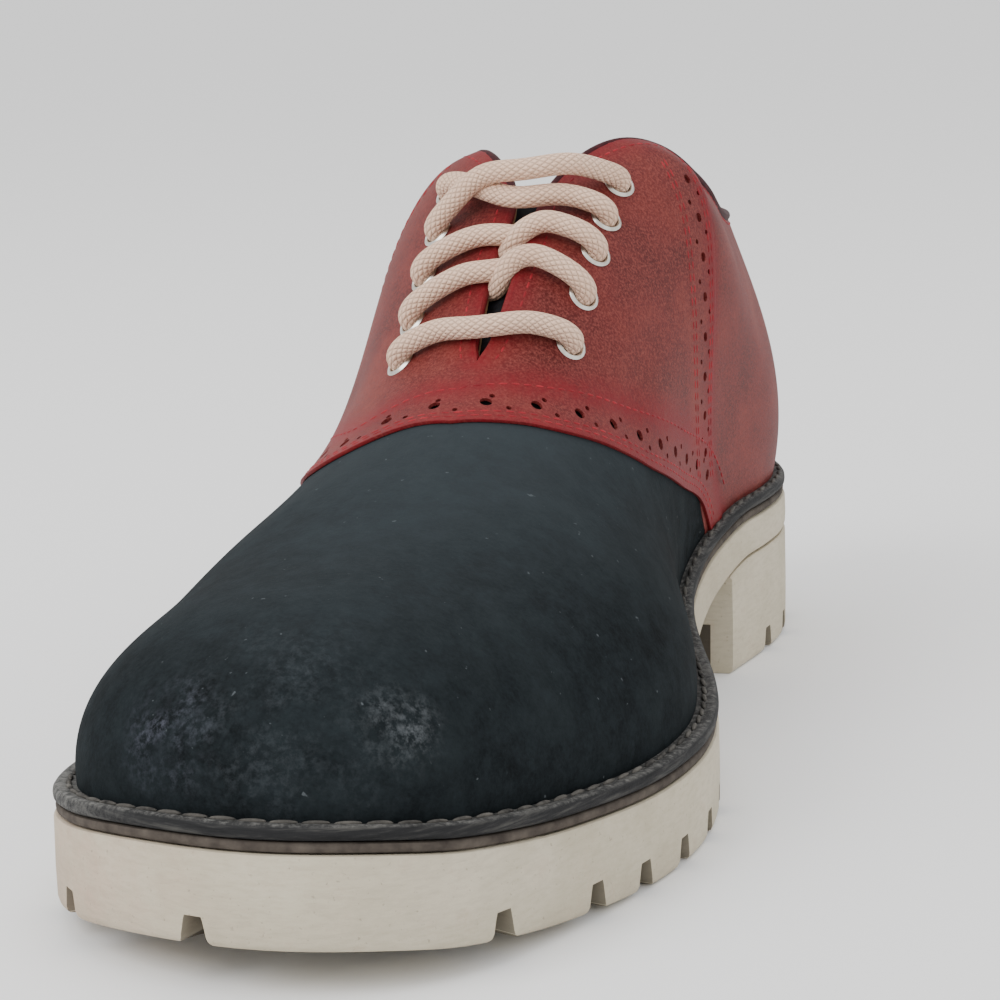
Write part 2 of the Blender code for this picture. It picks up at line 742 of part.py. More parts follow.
def tube(points, diameter, segments=LACE_SEGMENTS):
    """Closed tube along a smooth route through the points."""
    points = np.array(points)
    knots = np.concatenate([[0], np.cumsum(np.linalg.norm(np.diff(points, axis=0), axis=1))])
    count = max(int(knots[-1] / (TUBE_STEP * diameter)), 4)
    at = np.linspace(0, knots[-1], count)
    step = 0.02 * diameter
    route = smooth(knots, points, at)
    ahead_of = smooth(knots, points, np.minimum(at + step, at[-1]))
    behind = smooth(knots, points, np.maximum(at - step, 0))
    bm = bmesh.new()
    rings = []
    across = Vector((0, 1, 0))
    for place, heading in zip(route, ahead_of - behind):
        ahead = Vector(heading).normalized()
        across = (across - ahead * across.dot(ahead)).normalized()
        other = ahead.cross(across)
        ring = []
        for m in range(segments):
            angle = 2 * math.pi * m / segments
            spoke = across * math.cos(angle) + other * math.sin(angle)
            ring.append(bm.verts.new(Vector(place) + spoke * (diameter / 2)))
        rings.append(ring)
    for ring, after in zip(rings, rings[1:]):
        for m in range(segments):
            n = (m + 1) % segments
            bm.faces.new((ring[m], ring[n], after[n], after[m]))
    bm.faces.new(rings[0])
    bm.faces.new(rings[-1])
    return bm


def lace_half(side, share, middle_share, clear):
    """Route of a lace from its eyelet up to the slit, as points from the eyelet on."""
    radius = LACE_DIAMETER / 2
    start = EYELET_SEAT + EYELET_FLANGE + 1.5 * CLEARANCE
    steps = [(away, start + lift * radius, turn) for away, lift, turn in LACE_RISE]
    steps += [(away, radius + clear, turn) for away, turn in LACE_OVER]
    points = []
    for away, lift, turn in steps:
        at = share + (middle_share - share) * turn
        points.append(beside_slit(side, at, EYELET_FROM_SLIT[side] * away, lift))
    return points


def add_lace(parent):
    places = eyelet_places()
    inner_rows, outer_rows = ([places[side, row][2] for row in range(EYELET_ROWS)] for side in SIDES)
    pitch = (inner_rows[-1] - inner_rows[0]) / (EYELET_ROWS - 1)
    clear = 4 * CLEARANCE
    for row, climb in enumerate(LACE_CLIMB):
        middle = (inner_rows[row] + outer_rows[row]) / 2 + climb * pitch
        outer = lace_half(OUTER, outer_rows[row], middle, clear)
        inner = lace_half(INNER, inner_rows[row], middle, clear)
        name = "lace_bar_1" if row == 0 else f"lace_crossing_{row + 1}"
        add_object(name, tube(outer + inner[::-1], LACE_DIAMETER), parent, "cream_cord")

    middle = (inner_rows[3] + outer_rows[4]) / 2
    over = lace_half(OUTER, outer_rows[3], middle, 0.95 * LACE_DIAMETER)
    over += lace_half(INNER, inner_rows[4], middle, 0.95 * LACE_DIAMETER)[::-1]
    beneath = lace_half(OUTER, outer_rows[4], middle, clear)
    beneath += lace_half(INNER, inner_rows[3], middle, clear)[::-1]
    top = add_object("lace_crossing_4", tube(over, LACE_DIAMETER), parent, "cream_cord")
    add_cutter(top, "lace_crossing_under", tube(beneath, LACE_DIAMETER), parent, "UNION")


def add_shoe():
    """Build every piece under one empty, with the middle of the sole's outline at the origin."""
    shares = station_shares()
    edges = np.concatenate([rim(side, shares, extension(shares), sole_top) for side in SIDES])
    centre = (edges.min(axis=0) + edges.max(axis=0)) / 2
    shoe = bpy.data.objects.new("shoe", None)
    bpy.context.scene.collection.objects.link(shoe)
    shoe.location = (-centre[0], -centre[1], 0)
    add_outsole(shoe)
    add_heel(shoe)
    add_midsole(shoe)
    add_welt(shoe)
    add_insole(shoe)
    add_upper(shoe)
    add_tongue(shoe)
    add_eyelets(shoe)
    add_lace(shoe)


def main():
    for obj in list(bpy.data.objects):
        bpy.data.objects.remove(obj, do_unlink=True)
    add_shoe()


if __name__ == "__main__":
    main()
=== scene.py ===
"""Saddle shoe, right foot: its visible pieces and their finishes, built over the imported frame.

Metres, +Z up, toe towards -Y, the wearer's inner side at +X. The leather follows the same last as
the frame: an outline, a profile of heights and a table of sections. Every panel is a flat grid
moulded onto that last and then given its thickness.
"""

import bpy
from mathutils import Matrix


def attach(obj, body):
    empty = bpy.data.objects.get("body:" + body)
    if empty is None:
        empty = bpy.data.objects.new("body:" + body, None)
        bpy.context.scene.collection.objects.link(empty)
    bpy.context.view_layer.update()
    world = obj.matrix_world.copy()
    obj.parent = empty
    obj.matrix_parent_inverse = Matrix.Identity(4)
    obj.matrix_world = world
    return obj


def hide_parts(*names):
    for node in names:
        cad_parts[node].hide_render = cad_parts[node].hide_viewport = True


bl_info = {
    "name": "Saddle Shoe",
    "version": (1, 0, 0),
    "blender": (4, 5, 0),
    "location": "View3D > Sidebar > Shoe",
    "description": "Builds the visible pieces of a laced saddle shoe",
    "category": "Add Mesh",
}

import math

import bmesh
import bpy
import numpy as np
from bpy.props import FloatProperty, FloatVectorProperty, PointerProperty
from mathutils import Matrix, Vector
from mathutils.bvhtree import BVHTree
from mathutils.kdtree import KDTree

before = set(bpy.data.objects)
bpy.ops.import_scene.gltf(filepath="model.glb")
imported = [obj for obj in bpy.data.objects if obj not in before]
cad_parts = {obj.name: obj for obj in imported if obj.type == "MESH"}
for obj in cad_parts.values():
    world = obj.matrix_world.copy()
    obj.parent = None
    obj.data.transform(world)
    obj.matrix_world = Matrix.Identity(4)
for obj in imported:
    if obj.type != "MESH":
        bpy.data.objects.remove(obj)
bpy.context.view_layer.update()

# The last and its heights, as in the frame
LAST_LENGTH = 0.296
LAST_WIDTH = 0.103
TOE_SPRING = 0.0080
HEEL_LIFT = 0.0165
INSTEP_HEIGHT = 0.0870
COLLAR_REACH = 0.0310
HEEL_LENGTH = 0.0800
SOLE_THICKNESS = 0.0162
MIDSOLE_THICKNESS = 0.0018
WELT_THICKNESS = 0.0026
WELT_EXTENSION = 0.0042
HEEL_EXTENSION = 0.0028
INSOLE_THICKNESS = 0.0056
UPPER_WALL = 0.0019
CLEARANCE = 0.0003
SLOT_WIDTH = 0.0050
SLOT_HEIGHT = 0.0055
SLOT_DEPTH = 0.0150
SLOT_PITCH = 0.0165
CHANNEL_WIDTH = 0.0040
EYELET_ROWS = 5
TONGUE_ALONG = (0.405, 0.590)
TONGUE_HALF_WIDTH = 0.0200
TONGUE_DEPTH = 0.0030
TONGUE_THICKNESS = 0.0020
SLIT_SHARE = 0.520
FACING_TOP = 0.650
WAIST = (0.450, 0.700)
CROWDING = 0.35
INNER, OUTER = 1, -1
SIDES = (INNER, OUTER)
EYELET_ALONG = {INNER: (0.468, 0.584), OUTER: (0.458, 0.586)}
EYELET_FROM_SLIT = {INNER: 0.0178, OUTER: 0.0198}
FIRST_SLOTS = {INNER: (0.038, 0.064), OUTER: (0.012, 0.043)}
LUGS_ALONG = (0.130, 0.430)
CHANNEL_END = 0.465

# Outline of the last's bottom edge: share of its length behind the toe tip, share of its width across
OUTLINE = (
    (0.000, 0.045), (0.030, 0.236), (0.100, 0.352), (0.200, 0.445), (0.310, 0.490), (0.440, 0.425),
    (0.570, 0.305), (0.720, 0.290), (0.870, 0.325), (0.965, 0.215), (1.000, 0.000), (0.965, -0.215),
    (0.870, -0.325), (0.720, -0.345), (0.580, -0.410), (0.460, -0.470), (0.350, -0.493),
    (0.210, -0.466), (0.100, -0.412), (0.030, -0.254),
)
HEEL_ROW = 10

# Sole profile: share of the length, then shares of the toe spring, the heel lift and the thickness
PROFILE_COLUMNS = ("along", "spring", "lift", "thick")
PROFILE = (
    (-0.02, 1.00, 0.00, 1.00), (0.05, 0.60, 0.00, 1.00), (0.13, 0.24, 0.00, 1.00),
    (0.25, 0.00, 0.00, 1.00), (0.38, 0.00, 0.00, 1.00), (0.48, 0.00, 0.10, 0.94),
    (0.60, 0.00, 0.46, 0.72), (0.70, 0.00, 0.82, 0.56), (0.78, 0.00, 1.00, 0.50),
    (1.02, 0.00, 1.00, 0.50),
)

# Sections of the upper from the toe to the back of the heel, as in the frame
SECTION_COLUMNS = (
    "foot", "along", "height", "inner", "reach",
    "lean", "flare_in", "flare_out", "low", "high", "cut",
)
SECTIONS = (
    (0.000, 0.130, 0.398, 0.000, 0.000, 90, 4.0, 4.0, 0.42, 0.38, 1.00),
    (0.120, 0.152, 0.408, 0.000, 0.000, 90, 4.0, 4.0, 0.41, 0.38, 1.00),
    (0.240, 0.210, 0.446, 0.000, 0.000, 90, 4.0, 5.0, 0.39, 0.37, 1.00),
    (0.340, 0.290, 0.507, 0.000, 0.000, 90, 4.0, 8.0, 0.37, 0.36, 1.00),
    (0.430, 0.370, 0.576, 0.000, 0.000, 88, 3.0, 7.7, 0.35, 0.36, 1.00),
    (0.520, 0.450, 0.684, 0.000, 0.000, 87, 1.5, 8.0, 0.32, 0.38, 1.00),
    (0.580, 0.510, 0.801, 0.034, 0.045, 86, 1.1, 9.2, 0.33, 0.46, 1.00),
    (0.645, 0.575, 0.919, 0.008, 0.085, 85, 1.8, 11.0, 0.38, 0.57, 1.00),
    (0.705, 0.635, 1.014, 0.016, 0.132, 76, 3.6, 11.8, 0.39, 0.59, 0.92),
    (0.755, 0.690, 1.050, 0.032, 0.215, 56, 6.0, 11.8, 0.37, 0.51, 0.83),
    (0.810, 0.750, 1.070, 0.038, 0.375, 35, 9.0, 11.6, 0.34, 0.43, 0.73),
    (0.870, 0.805, 1.016, 0.030, 0.579, 21, 12.0, 12.0, 0.33, 0.37, 0.685),
    (0.940, 0.842, 0.990, 0.010, 0.829, 16, 14.0, 14.0, 0.33, 0.33, 0.69),
    (1.000, 0.850, 0.980, 0.000, 1.000, 14, 16.0, 16.0, 0.33, 0.33, 0.71),
)
SPINE = ((0.00, 0.020), (0.25, 0.010), (0.45, 0.000), (0.65, -0.005), (0.85, 0.000), (1.00, 0.000))

# Front edge of the saddle and its back edge: rise on the section, share of the foot line
SEAM = {
    INNER: ((0.0, 0.682), (0.08, 0.660), (0.20, 0.604), (0.32, 0.557), (0.49, 0.509), (0.61, 0.484),
            (0.72, 0.466), (0.81, 0.457), (0.90, 0.451), (1.0, 0.449)),
    OUTER: ((0.0, 0.682), (0.08, 0.650), (0.20, 0.590), (0.32, 0.535), (0.49, 0.472), (0.61, 0.443),
            (0.72, 0.436), (0.81, 0.440), (0.90, 0.446), (1.0, 0.449)),
}
STRIP = {
    INNER: ((0.0, 0.706), (0.18, 0.674), (0.32, 0.667), (0.42, 0.671), (0.52, 0.678), (0.62, 0.688),
            (0.75, 0.700), (0.90, 0.716), (1.0, 0.726)),
    OUTER: ((0.0, 0.706), (0.18, 0.674), (0.32, 0.667), (0.42, 0.671), (0.52, 0.678), (0.62, 0.688),
            (0.75, 0.700), (0.90, 0.716), (1.0, 0.726)),
}

# Soft creases and swells: centre and size on the leather as
# (side, share, rise, reach along, reach up, turn in degrees, height in millimetres)
CREASES = (
    (OUTER, 0.395, 0.560, 0.040, 0.060, 0, -0.55),
    (OUTER, 0.360, 0.640, 0.030, 0.050, 0, 0.35),
    (INNER, 0.405, 0.600, 0.035, 0.060, 0, -0.45),
    (INNER, 0.370, 0.700, 0.030, 0.050, 0, 0.30),
    (OUTER, 0.300, 0.860, 0.030, 0.090, 0, -0.25),
    (INNER, 0.310, 0.860, 0.030, 0.090, 0, -0.25),
    (INNER, 0.560, 0.550, 0.040, 0.060, 0, -0.40),
    (OUTER, 0.560, 0.550, 0.040, 0.060, 0, -0.40),
    (INNER, 0.800, 0.550, 0.030, 0.120, 0, -0.50),
    (OUTER, 0.800, 0.550, 0.030, 0.120, 0, -0.50),
)

# Layers of the upper, as heights over the frame's outside surface
LINING_LAYER = (-0.0019, -0.00125)
BACKING_LAYER = (-0.0012, -0.0005)
VAMP_LAYER = (-0.00045, 0.00005)
QUARTER_LAYER = (-0.00045, 0.00015)
SADDLE_LAYER = (0.0002, 0.0009)
HEM = 0.012
# How far the finished edge lies below the frame's along the slit, the ears and the collar: share, metres
TRIM = {
    INNER: ((0.520, 0.0), (0.534, 0.0013), (0.560, 0.0018), (0.600, 0.0018), (0.640, 0.0006), (0.680, 0.0),
            (0.700, 0.0024), (0.725, 0.0056), (0.760, 0.0058), (0.790, 0.0046), (0.830, 0.0022), (0.880, 0.0),
            (1.0, 0.0)),
    OUTER: ((0.520, 0.0), (0.534, 0.0013), (0.560, 0.0018), (0.600, 0.0018), (0.640, 0.0006), (0.670, 0.0004),
            (0.690, 0.0028), (0.710, 0.0058), (0.730, 0.0056), (0.760, 0.0034), (0.820, 0.0006), (0.860, 0.0),
            (1.0, 0.0)),
}
# Rise from which the trim begins, and the usual length of a section, which turns it into a rise
TRIM_FROM = 0.6
SECTION_RUN = 0.090
# How far the panels run on below the foot line, as a rise
TUCK = -0.012
# Reach of the smoothed crown round the toe's middle, and the height above which it counts
CROWN_RADIUS = 0.026
CROWN_FLOOR = 0.040
# Widths of a slot in the sole's edge against its height, as shares
SLOT_SHAPE = ((0.0, 1.9), (0.27, 1.55), (0.33, 1.25), (0.45, 1.02), (0.9, 0.74), (1.0, 0.64))
GROOVE_SHAPE = ((0.0, 1.0), (1.0, 1.0))
# Small shapes made in one batch
BATCH = 40
# Distances below which two points are one: in a closed grid, and where two panels meet
JOIN = 0.000002
PANEL_JOIN = 0.00003
# Lengths of the pegs that cut the brogue holes and the eyelets' holes
HOLE_DEPTH = 0.006
EYELET_HOLE_DEPTH = 0.008

# Rows of stitches, as distances from an edge
SEAM_ROWS = (0.0016, 0.0031)
STRIP_ROWS = (0.0016, 0.0030)
STRIP_ROW_GAP = 0.0016
FACING_ROW = 0.0031
COLLAR_ROW = 0.0028
# Rows of holes in a band as shares of its width: the large ones, then the pinholes on either side
SEAM_HOLES = (0.52, 0.36, 0.68)
STRIP_HOLES = (0.5, 0.3, 0.7)

# Way of the lace over a facing, from its eyelet towards the slit: part of the way left, lift off the
# leather, share of the turn towards the crossing
BAR_STEPS = ((0.90, 0.0032, 0.10), (0.72, 0.0036, 0.35), (0.45, 0.0036, 0.70), (0.15, 0.0034, 0.95))
OVER_STEPS = {
    INNER: ((0.91, 0.0033, 0.06), (0.76, 0.0041, 0.20), (0.52, 0.0043, 0.50), (0.30, 0.0042, 0.80),
            (0.16, 0.0034, 0.96)),
    OUTER: ((0.91, 0.0033, 0.06), (0.76, 0.0038, 0.20), (0.52, 0.0037, 0.48), (0.28, 0.0035, 0.76),
            (0.10, 0.0031, 0.93)),
}
TOP_STEPS = {
    INNER: ((0.92, 0.0032, 0.05), (0.78, 0.0039, 0.18), (0.55, 0.0042, 0.45), (0.28, 0.0044, 0.75)),
    OUTER: ((0.92, 0.0032, 0.05), (0.78, 0.0044, 0.20), (0.55, 0.0064, 0.48), (0.28, 0.0084, 0.80)),
}
# Level at which the lace crosses the slit, in rows above its eyelet, and its lift in the middle
CROSS_LEVEL = {INNER: 0.72, OUTER: 0.86}
CROSS_LIFT = {INNER: 0.0010, OUTER: 0.0016}
TOP_LEVEL = {INNER: 0.12, OUTER: 0.50}
TOP_LIFT = {INNER: 0.0047, OUTER: 0.0092}
BAR_LEVEL = 0.22
# Where it dips under the far facing: part of the way to the eyelet, lift, kept thickness
DIVE = {INNER: (0.03, -0.0012, 0.8), OUTER: (0.05, -0.0006, 0.9)}
# Its way under that facing: part, lift, share of the turn, kept thickness
DEEP, THIN = -0.00245, 0.22
UNDER_STEPS = ((0.14, -0.0022, 0.05, 0.55), (0.32, DEEP, 0.25, THIN), (0.62, DEEP, 0.65, THIN),
               (0.92, DEEP, 0.98, 0.35))

# Dusty scuffs on the toe: place, reach, strength, colour
TOE_SCUFFS = (
    ((-0.0155, -0.1414, 0.0408), 0.014, 0.36, "#666876"),
    ((0.0234, -0.1346, 0.0414), 0.010, 0.42, "#84888c"),
    ((0.0047, -0.1429, 0.0447), 0.034, 0.14, "#6f747a"),
)

# Soft lamps of the studio: name, place, size, watts
LAMPS = (
    ("key_light", (-0.60, -0.85, 0.95), 0.8, 10),
    ("fill_light", (0.9, -0.6, 0.5), 1.0, 1.2),
    ("top_light", (0.0, 0.1, 1.3), 1.2, 4),
)
WORLD_STRENGTH = 1.25
# The photograph's view of the shoe, fitted to it: eye and target, roll in radians, focal length in widths
EYE = (0.1750, -0.4365, 0.1706)
TARGET = (0.0, 0.0, 0.0520)
ROLL = -0.0233
FOCAL = 3.05
SENSOR = 36


def eased(part):
    """Share from 0 to 1 that leaves and arrives softly."""
    part = np.clip(part, 0, 1)
    return part * part * (3 - 2 * part)


def steady(knots, values, at):
    """Curve through the values at the knots that never overshoots them."""
    knots, values, at = (np.asarray(x, float) for x in (knots, values, at))
    gaps = np.diff(knots)
    rates = np.diff(values) / gaps
    slopes = np.zeros(len(knots))
    for i in range(1, len(knots) - 1):
        if rates[i - 1] * rates[i] > 0:
            before, after = 2 * gaps[i] + gaps[i - 1], gaps[i] + 2 * gaps[i - 1]
            slopes[i] = (before + after) / (before / rates[i - 1] + after / rates[i])
    k = np.clip(np.searchsorted(knots, at, side="right") - 1, 0, len(knots) - 2)
    b = (at - knots[k]) / gaps[k]
    a = 1 - b
    level = values[k] * (1 + 2 * b) * a**2 + values[k + 1] * b**2 * (3 - 2 * b)
    return level + gaps[k] * a * b * (slopes[k] * a - slopes[k + 1] * b)


def smooth(knots, values, at, level_start=False, level_end=False):
    """Curve with smooth curvature through the values at the knots, level at an end on demand."""
    knots, values, at = (np.asarray(x, float) for x in (knots, values, at))
    gaps = np.diff(knots)
    count = len(knots)
    system, right = np.eye(count), np.zeros(values.shape)
    rates = np.diff(values, axis=0) / (gaps if values.ndim == 1 else gaps[:, None])
    for i in range(1, count - 1):
        system[i, i - 1 : i + 2] = gaps[i - 1], 2 * (gaps[i - 1] + gaps[i]), gaps[i]
        right[i] = 6 * (rates[i] - rates[i - 1])
    if level_start:
        system[0, :2] = 2 * gaps[0], gaps[0]
        right[0] = 6 * rates[0]
    if level_end:
        system[-1, -2:] = gaps[-1], 2 * gaps[-1]
        right[-1] = -6 * rates[-1]
    bend = np.linalg.solve(system, right)
    k = np.clip(np.searchsorted(knots, at, side="right") - 1, 0, count - 2)
    gap = gaps[k]
    b = (at - knots[k]) / gap
    if values.ndim > 1:
        gap, b = gap[..., None], b[..., None]
    a = 1 - b
    curved = (a**3 - a) * bend[k] + (b**3 - b) * bend[k + 1]
    return a * values[k] + b * values[k + 1] + curved * gap**2 / 6


def make_foot_lines(per_row=60, wrap=4):
    """Both halves of the outline as dense lines: side to (share of its run, points, its run)."""
    points = np.array([(across * LAST_WIDTH, along * LAST_LENGTH) for along, across in OUTLINE])
    ring = np.concatenate([points[-wrap:], points, points[: wrap + 1]])
    steps = np.linalg.norm(np.diff(ring, axis=0), axis=1) ** 0.75
    knots = np.concatenate([[0], np.cumsum(steps)])
    rows = range(wrap, wrap + len(points))
    at = np.concatenate([np.linspace(knots[i], knots[i + 1], per_row, endpoint=False) for i in rows])
    line = smooth(knots, ring, at)
    line = np.concatenate([line, line[:1]])
    heel = HEEL_ROW * per_row
    lines = {}
    for side, half in {INNER: line[: heel + 1], OUTER: line[heel:][::-1]}.items():
        run = np.concatenate([[0], np.cumsum(np.linalg.norm(np.diff(half, axis=0), axis=1))])
        lines[side] = (run / run[-1], half, run[-1])
    return lines


FOOT_LINES = make_foot_lines()


def foot(side, share):
    """Point of the foot line in plan, and the direction out of the shoe there."""
    shares, line, _ = FOOT_LINES[side]

    def at(s):
        return np.stack([np.interp(s, shares, line[:, k]) for k in (0, 1)], axis=-1)

    share = np.asarray(share, float)
    step = 0.002
    ahead = at(np.clip(share + step, 0, 1)) - at(np.clip(share - step, 0, 1))
    ahead /= np.linalg.norm(ahead, axis=-1, keepdims=True)
    out = np.stack([ahead[..., 1], -ahead[..., 0]], axis=-1) * side
    end = (share <= 0) | (share >= 1)
    straight = np.stack([np.zeros_like(share), np.where(share >= 0.5, 1.0, -1.0)], axis=-1)
    return at(share), np.where(end[..., None], straight, out)


def profile(column, along):
    rows = np.array(PROFILE)
    return steady(rows[:, 0], rows[:, PROFILE_COLUMNS.index(column)], along)


def sole_top(y):
    along = np.asarray(y) / LAST_LENGTH
    return SOLE_THICKNESS + TOE_SPRING * profile("spring", along) + HEEL_LIFT * profile("lift", along)


def sole_under(y):
    return sole_top(y) - SOLE_THICKNESS * profile("thick", np.asarray(y) / LAST_LENGTH)


def midsole_bottom(y):
    return sole_top(y) + CLEARANCE


def welt_bottom(y):
    return midsole_bottom(y) + MIDSOLE_THICKNESS + CLEARANCE


def welt_top(y):
    return welt_bottom(y) + WELT_THICKNESS


def upper_bottom(y):
    return welt_top(y) + CLEARANCE


def section(column, share):
    rows = np.array(SECTIONS, float)
    knots, values = rows[:, 0], rows[:, SECTION_COLUMNS.index(column)]
    if column in ("reach", "inner", "cut"):
        return steady(knots, values, share)
    return smooth(knots, values, share, level_start=column != "along", level_end=True)


def spine(share):
    """Point over the middle of the foot that the section at a share of the foot line rises to."""
    along = section("along", share)
    rows = np.array(SPINE)
    x = smooth(rows[:, 0], rows[:, 1], along) * LAST_WIDTH
    y = along * LAST_LENGTH
    z = upper_bottom(y) + section("height", share) * INSTEP_HEIGHT
    return np.stack([x, y, z], axis=-1)


def spine_slope(share):
    """Rise of the spine per length, which a section's top follows where it crosses the middle."""
    step = 0.004
    low, high = spine(np.clip(share - step, 0, 1)), spine(np.clip(share + step, 0, 1))
    run = np.maximum(high[..., 1] - low[..., 1], 0.0001)
    return np.clip((high[..., 2] - low[..., 2]) / run, -0.2, 0.6)


def last_point(side, share, rise):
    """Outside of the smooth upper; rise goes from 0 at the sole to 1 at the leather's edge."""
    share, rise = np.broadcast_arrays(np.asarray(share, float), np.asarray(rise, float))
    rise = rise * section("cut", share)
    base, out = foot(side, share)
    middle = spine(share)
    away = base - middle[..., :2]
    away /= np.linalg.norm(away, axis=-1, keepdims=True)
    reach = section("reach", share) * COLLAR_REACH
    lift = section("inner", share) * INSTEP_HEIGHT * (side == INNER)
    beside = middle[..., :2] + away * reach[..., None]
    top = np.concatenate([beside, (middle[..., 2] + lift)[..., None]], axis=-1)
    bottom = np.concatenate([base, upper_bottom(base[..., 1])[..., None]], axis=-1)
    flare = np.radians(section("flare_in" if side == INNER else "flare_out", share))
    lean = np.radians(section("lean", share))
    start = np.concatenate([out * np.sin(flare)[..., None], np.cos(flare)[..., None]], axis=-1)
    over_ridge = np.clip((np.degrees(lean) - 20) / 20, 0, 1)
    climb = np.cos(lean) - away[..., 1] * spine_slope(share) * np.sin(lean) * over_ridge
    end = np.concatenate([-away * np.sin(lean)[..., None], climb[..., None]], axis=-1)
    chord = np.linalg.norm(top - bottom, axis=-1)
    low = bottom + start * (section("low", share) * chord)[..., None]
    high = top - end * (section("high", share) * chord)[..., None]
    b = rise[..., None]
    a = 1 - b
    return bottom * a**3 + 3 * low * b * a**2 + 3 * high * b**2 * a + top * b**3


def last_normal(side, share, rise):
    step = 0.004
    share, rise = np.broadcast_arrays(np.asarray(share, float), np.asarray(rise, float))
    along = last_point(side, share + step, rise) - last_point(side, share - step, rise)
    up = last_point(side, share, np.minimum(rise + step, 1)) - last_point(side, share, rise - step)
    normal = np.cross(along, up) * side
    return normal / np.linalg.norm(normal, axis=-1, keepdims=True)


def crease_height(side, share, rise):
    """Height of the soft creases and swells at a place, in metres."""
    height = np.zeros(np.broadcast(share, rise).shape)
    for where, s, r, reach, up, turn, depth in CREASES:
        if where == side:
            a, b = (share - s) / reach, (rise - r) / up
            height += depth / 1000 * np.exp(-(a * a + b * b))
    return height


def station_shares(count=160):
    """Shares of the foot line, closer together round the toe and the heel."""
    u = np.linspace(0, 1, count + 1)
    return u - CROWDING * np.sin(2 * math.pi * u) / (2 * math.pi)


def extension(share):
    """How far the sole stands out past the upper, less at the waist and the heel than in front."""
    back = eased((np.asarray(share) - WAIST[0]) / (WAIST[1] - WAIST[0]))
    return WELT_EXTENSION + (HEEL_EXTENSION - WELT_EXTENSION) * back


def find_centre():
    """Middle of the sole's outline, which the frame puts over the origin."""
    edges = []
    for side in SIDES:
        shares = station_shares(count=34)
        points, out = foot(side, shares)
        edges.append(points + out * extension(shares)[:, None])
    edges = np.concatenate(edges)
    return np.append((edges.min(axis=0) + edges.max(axis=0)) / 2, 0)


CENTRE = find_centre()


def cubic_terms(plan):
    x, y = plan[..., 0], plan[..., 1]
    return np.stack([x**i * y**j for i in range(4) for j in range(4 - i)], axis=-1)


def make_crown():
    """Height of the toe's crown as a cubic in plan, fitted to a ring round its middle."""
    shares, rises = np.meshgrid(np.linspace(0.0, 0.44, 60), np.linspace(0.5, 1.0, 50))
    points = np.concatenate([last_point(side, shares, rises).reshape(-1, 3) for side in SIDES])
    middle = spine(0.0)[:2]
    plan = (points[:, :2] - middle) / CROWN_RADIUS
    away = np.linalg.norm(plan, axis=1)
    ring = (away > 0.55) & (away < 1.25)
    return middle, np.linalg.lstsq(cubic_terms(plan[ring]), points[ring, 2], rcond=None)[0]


CROWN_MIDDLE, CROWN_FIT = make_crown()


def crowned(point):
    """Smooths the crown where the front sections of the table meet."""
    plan = (point[..., :2] - CROWN_MIDDLE) / CROWN_RADIUS
    away = np.linalg.norm(plan, axis=-1)
    part = eased((1 - away) / 0.5) * (point[..., 2] > CROWN_FLOOR)
    height = cubic_terms(np.clip(plan, -1, 1)) @ CROWN_FIT
    return np.stack([point[..., 0], point[..., 1], point[..., 2] * (1 - part) + height * part], axis=-1)


def trim(side, share):
    """How far the finished edge lies below the frame's at a share."""
    knots, values = np.array(TRIM[side]).T
    return steady(knots, values, np.clip(share, knots[0], knots[-1]))


def leather(side, share, rise):
    """Outside of the creased upper, in the frame's place."""
    share, rise = np.broadcast_arrays(np.asarray(share, float), np.asarray(rise, float))
    rise = rise - eased((rise - TRIM_FROM) / (1 - TRIM_FROM)) * trim(side, share) / SECTION_RUN
    crease = crease_height(side, share, rise) * np.clip((1 - rise) * 8, 0, 1)
    point = crowned(last_point(side, share, rise))
    return point + last_normal(side, share, rise) * crease[..., None] - CENTRE


def curve_of(table, side, rise):
    rows = np.array(table[side])
    return smooth(rows[:, 0], rows[:, 1], np.clip(rise, 0, 1))


def add_grid(bm, columns, rows, place, calc_uvs=False):
    """Grid with each vertex put where place says, from its two shares of the flat grid."""
    made = bmesh.ops.create_grid(bm, x_segments=columns, y_segments=rows, size=0.5, calc_uvs=calc_uvs)
    flat = np.array([vert.co[:2] for vert in made["verts"]]) + 0.5
    for vert, point in zip(made["verts"], place(flat[:, 0], flat[:, 1])):
        vert.co = point
    return made["verts"]


def object_from(bm, name):
    mesh = bpy.data.meshes.new(name)
    bm.to_mesh(mesh)
    bm.free()
    made = bpy.data.objects.new(name, mesh)
    bpy.context.scene.collection.objects.link(made)
    return made


def piece_from(bm, name, material, layer=None, bevel=0.0, cutters=(), sharp=40):
    """Piece from a bmesh: gives it a layer's thickness, rounds its edges, cuts it and shades it."""
    piece = object_from(bm, name)
    mesh = piece.data
    mesh.materials.append(material)
    if layer:
        low, high = layer
        wall = piece.modifiers.new("thickness", "SOLIDIFY")
        wall.thickness = high - low
        wall.offset = 1 + 2 * low / (high - low)
        wall.use_even_offset = True
        wall.use_quality_normals = True
    if bevel:
        edge = piece.modifiers.new("rounding", "BEVEL")
        edge.width = bevel
        edge.segments = 2
        edge.limit_method = "ANGLE"
        edge.angle_limit = math.radians(50)
    for cutter in cutters:
        cut = piece.modifiers.new("cut", "BOOLEAN")
        cut.operation = "DIFFERENCE"
        cut.solver = "MANIFOLD"
        cut.object = cutter
    bpy.context.view_layer.update()
    final = bpy.data.meshes.new_from_object(piece.evaluated_get(bpy.context.evaluated_depsgraph_get()))
    piece.modifiers.clear()
    piece.data = final
    final.name = name
    bpy.data.meshes.remove(mesh)
    for face in final.polygons:
        face.use_smooth = True
    final.set_sharp_from_angle(angle=math.radians(sharp))
    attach(piece, "root")
    return piece


def cutter_from(bm, name):
    bmesh.ops.recalc_face_normals(bm, faces=bm.faces)
    return object_from(bm, name)


